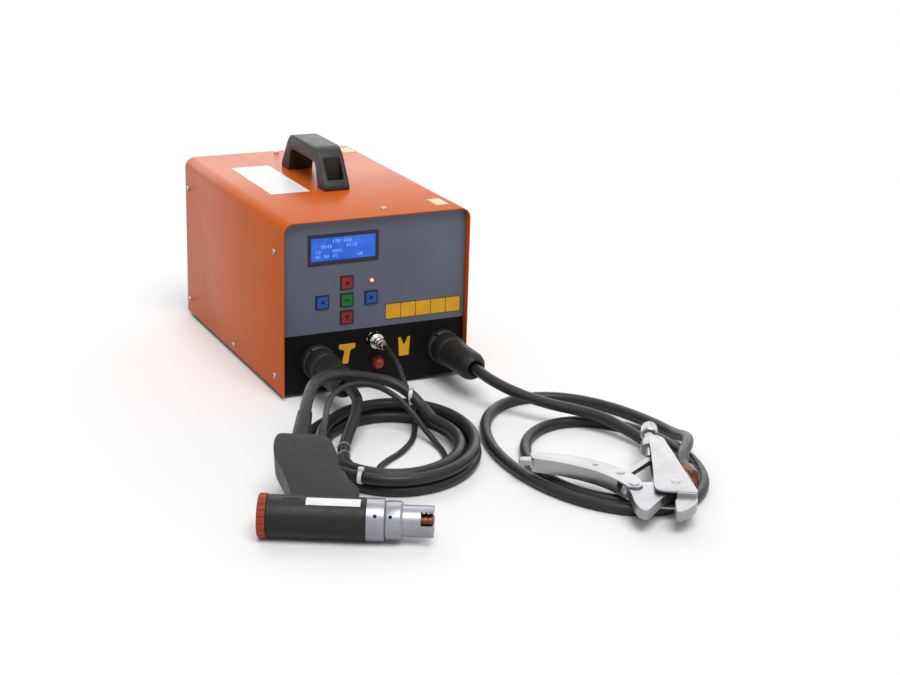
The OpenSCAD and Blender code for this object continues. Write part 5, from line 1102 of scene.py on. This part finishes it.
def makeCableLug(c):
    half, t, x = c["high"] / 2, c["thick"], c["at"]
    palm = slab(oblong(x - c["reach"][0], x + c["reach"][1], -half, half), 0, t, [5, 0.5, 0.5, 5], 0.4)
    moved(palm, Matrix(((1, 0, 0, 0), (0, 0, 1, -t - c["gap"]), (0, -1, 0, 0), (0, 0, 0, 1))))
    (x0, x1, r), bore = c["barrel"], c["bore"]
    tube = turned([(x0, 0), (x0, r - 2), (x0 + 3, r), (x1 - 0.5, r), (x1, r - 0.5), (x1, bore), (x0 + 4, bore),
                   (x0 + 4, 0)], 48)
    moved(tube, at(0, lugAxis))
    radius, deep = c["nut"]
    nut = soften(hexagon(radius, deep, at(x, -t - c["gap"] - deep / 2) @ turnAbout(90, "X")), 0.5)
    top, end, bolt = c["bolt"]
    shank = moved(rod(0, end, bolt, 28), at(x, top) @ turnAbout(-90, "Z"))
    settle(joined(palm, tube, nut, shank), "cableLug", "copperTint", "copper", ["cable_lug"], place=spineFrame,
           smooth=32)


makeCableLug(cableLug)
print("earth clamp made")

for node, name, finish, slot, body, width in (
        ("mains_inlet", "mainsInlet", "blackPlastic", "black_plastic", "machine", 0.4),
        ("switch_body", "switchFrame", "blackPlastic", "black_plastic", "machine", 0.4),
        ("power_rocker", "powerRocker", "redPlastic", "red_plastic", "rocker", 0.5)):
    settle(edgeBroken(node, width), name, finish, slot, [node], body)

rockerMarks = {"pivot": (-75, 195, 106), "tilt": 8.0, "face": 7.0, "thick": 0.12, "bar": (0.9, 4.6),
               "ring": (1.7, 2.5), "spread": 4.7, "sunk": 0.05}


def makeRockerMarks(r):  # a bar for on and a ring for off
    wide, tall = r["bar"]
    inner, outer = r["ring"]
    low, high = r["face"] - r["sunk"], r["face"] + r["thick"]
    bar = block((-wide / 2, low, r["spread"] - tall / 2), (wide / 2, high, r["spread"] + tall / 2))
    ring = moved(turned([(low, inner), (low, outer), (high, outer), (high, inner)], 32), turnAbout(90, "Z"))
    moved(ring, at(0, 0, -r["spread"]))
    settle(joined(bar, ring), "rockerMarks", "labelWhite", "red_plastic", body="rocker",
           place=at(*r["pivot"]) @ turnAbout(r["tilt"], "X"))


makeRockerMarks(rockerMarks)

partFinishes = {"base_pan": "blackPaint", "front_panel": "blackPaint", "fascia": "greyFascia",
                "rear_panel": "blackPaint", "control_board": "boardGreen", "key_switches": "blackPlastic",
                "weld_contacts": "brassTint", "capacitors": "canSleeve", "bus_bars": "copperTint",
                "transformer_core": "coreSteel",
                "transformer_coil": "winding", "heatsink": "zincSteel", "thyristors": "blackPlastic",
                "fan_frame": "blackPlastic", "fan_rotor": "blackPlastic"}
for node, finish in partFinishes.items():
    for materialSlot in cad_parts[node].material_slots:
        materialSlot.material = finishes[finish]
print("rear fittings and inner parts finished")

studio = {"sky": 0.36, "floor": 0.89, "floorRough": 0.9, "floorSize": 60.0, "lamps": {
    "softKey": {"energy": 2.15, "from": (-0.12, -0.6, 1.2), "soft": 40.0},
    "softBack": {"energy": 1.45, "from": (0.3, 0.9, 0.42), "soft": 75.0}}}  # sheen on the top


def makeStudio(s):
    world = bpy.data.worlds.new("studio")
    scene.world = world
    world.use_nodes = True
    tree = world.node_tree
    tree.nodes.clear()
    skies = [addNode(tree, "Background", Color=(1, 1, 1, 1), Strength=strength) for strength in (s["sky"], 1.0)]
    path = addNode(tree, "LightPath")
    seen = path.outputs["Is Camera Ray"]  # full white where the sky is seen or mirrored, dimmer as light
    for ray in ("Is Glossy Ray", "Is Transmission Ray"):
        either = addNode(tree, "Math")
        either.operation = "MAXIMUM"
        for socket, value in zip(either.inputs, (seen, path.outputs[ray])):
            tree.links.new(value, socket)
        seen = either.outputs[0]
    mix = addNode(tree, "MixShader", Fac=seen)
    for socket, sky in zip(mix.inputs[1:], skies):
        tree.links.new(sky.outputs[0], socket)
    addNode(tree, "OutputWorld", Surface=mix.outputs[0])
    for name, look in s["lamps"].items():
        lamp = bpy.data.lights.new(name, "SUN")
        lamp.energy, lamp.angle = look["energy"], math.radians(look["soft"])
        light = bpy.data.objects.new(name, lamp)
        light.rotation_mode = "QUATERNION"
        light.rotation_quaternion = Vector(look["from"]).to_track_quat("Z", "Y")
        scene.collection.objects.link(light)
    bm = bmesh.new()
    bmesh.ops.create_grid(bm, x_segments=1, y_segments=1, size=s["floorSize"] / 2)
    floor = asObject(bm, "studioFloor")
    paint = bpy.data.materials.new("floorPaint")
    paint.use_nodes = True
    tone = s["floor"]
    fillNode(paint.node_tree, paint.node_tree.nodes["Principled BSDF"], Base_Color=(tone, tone, tone, 1),
             Roughness=s["floorRough"], Specular_IOR_Level=0.0)
    floor.data.materials.append(paint)


makeStudio(studio)
print("studio lit")
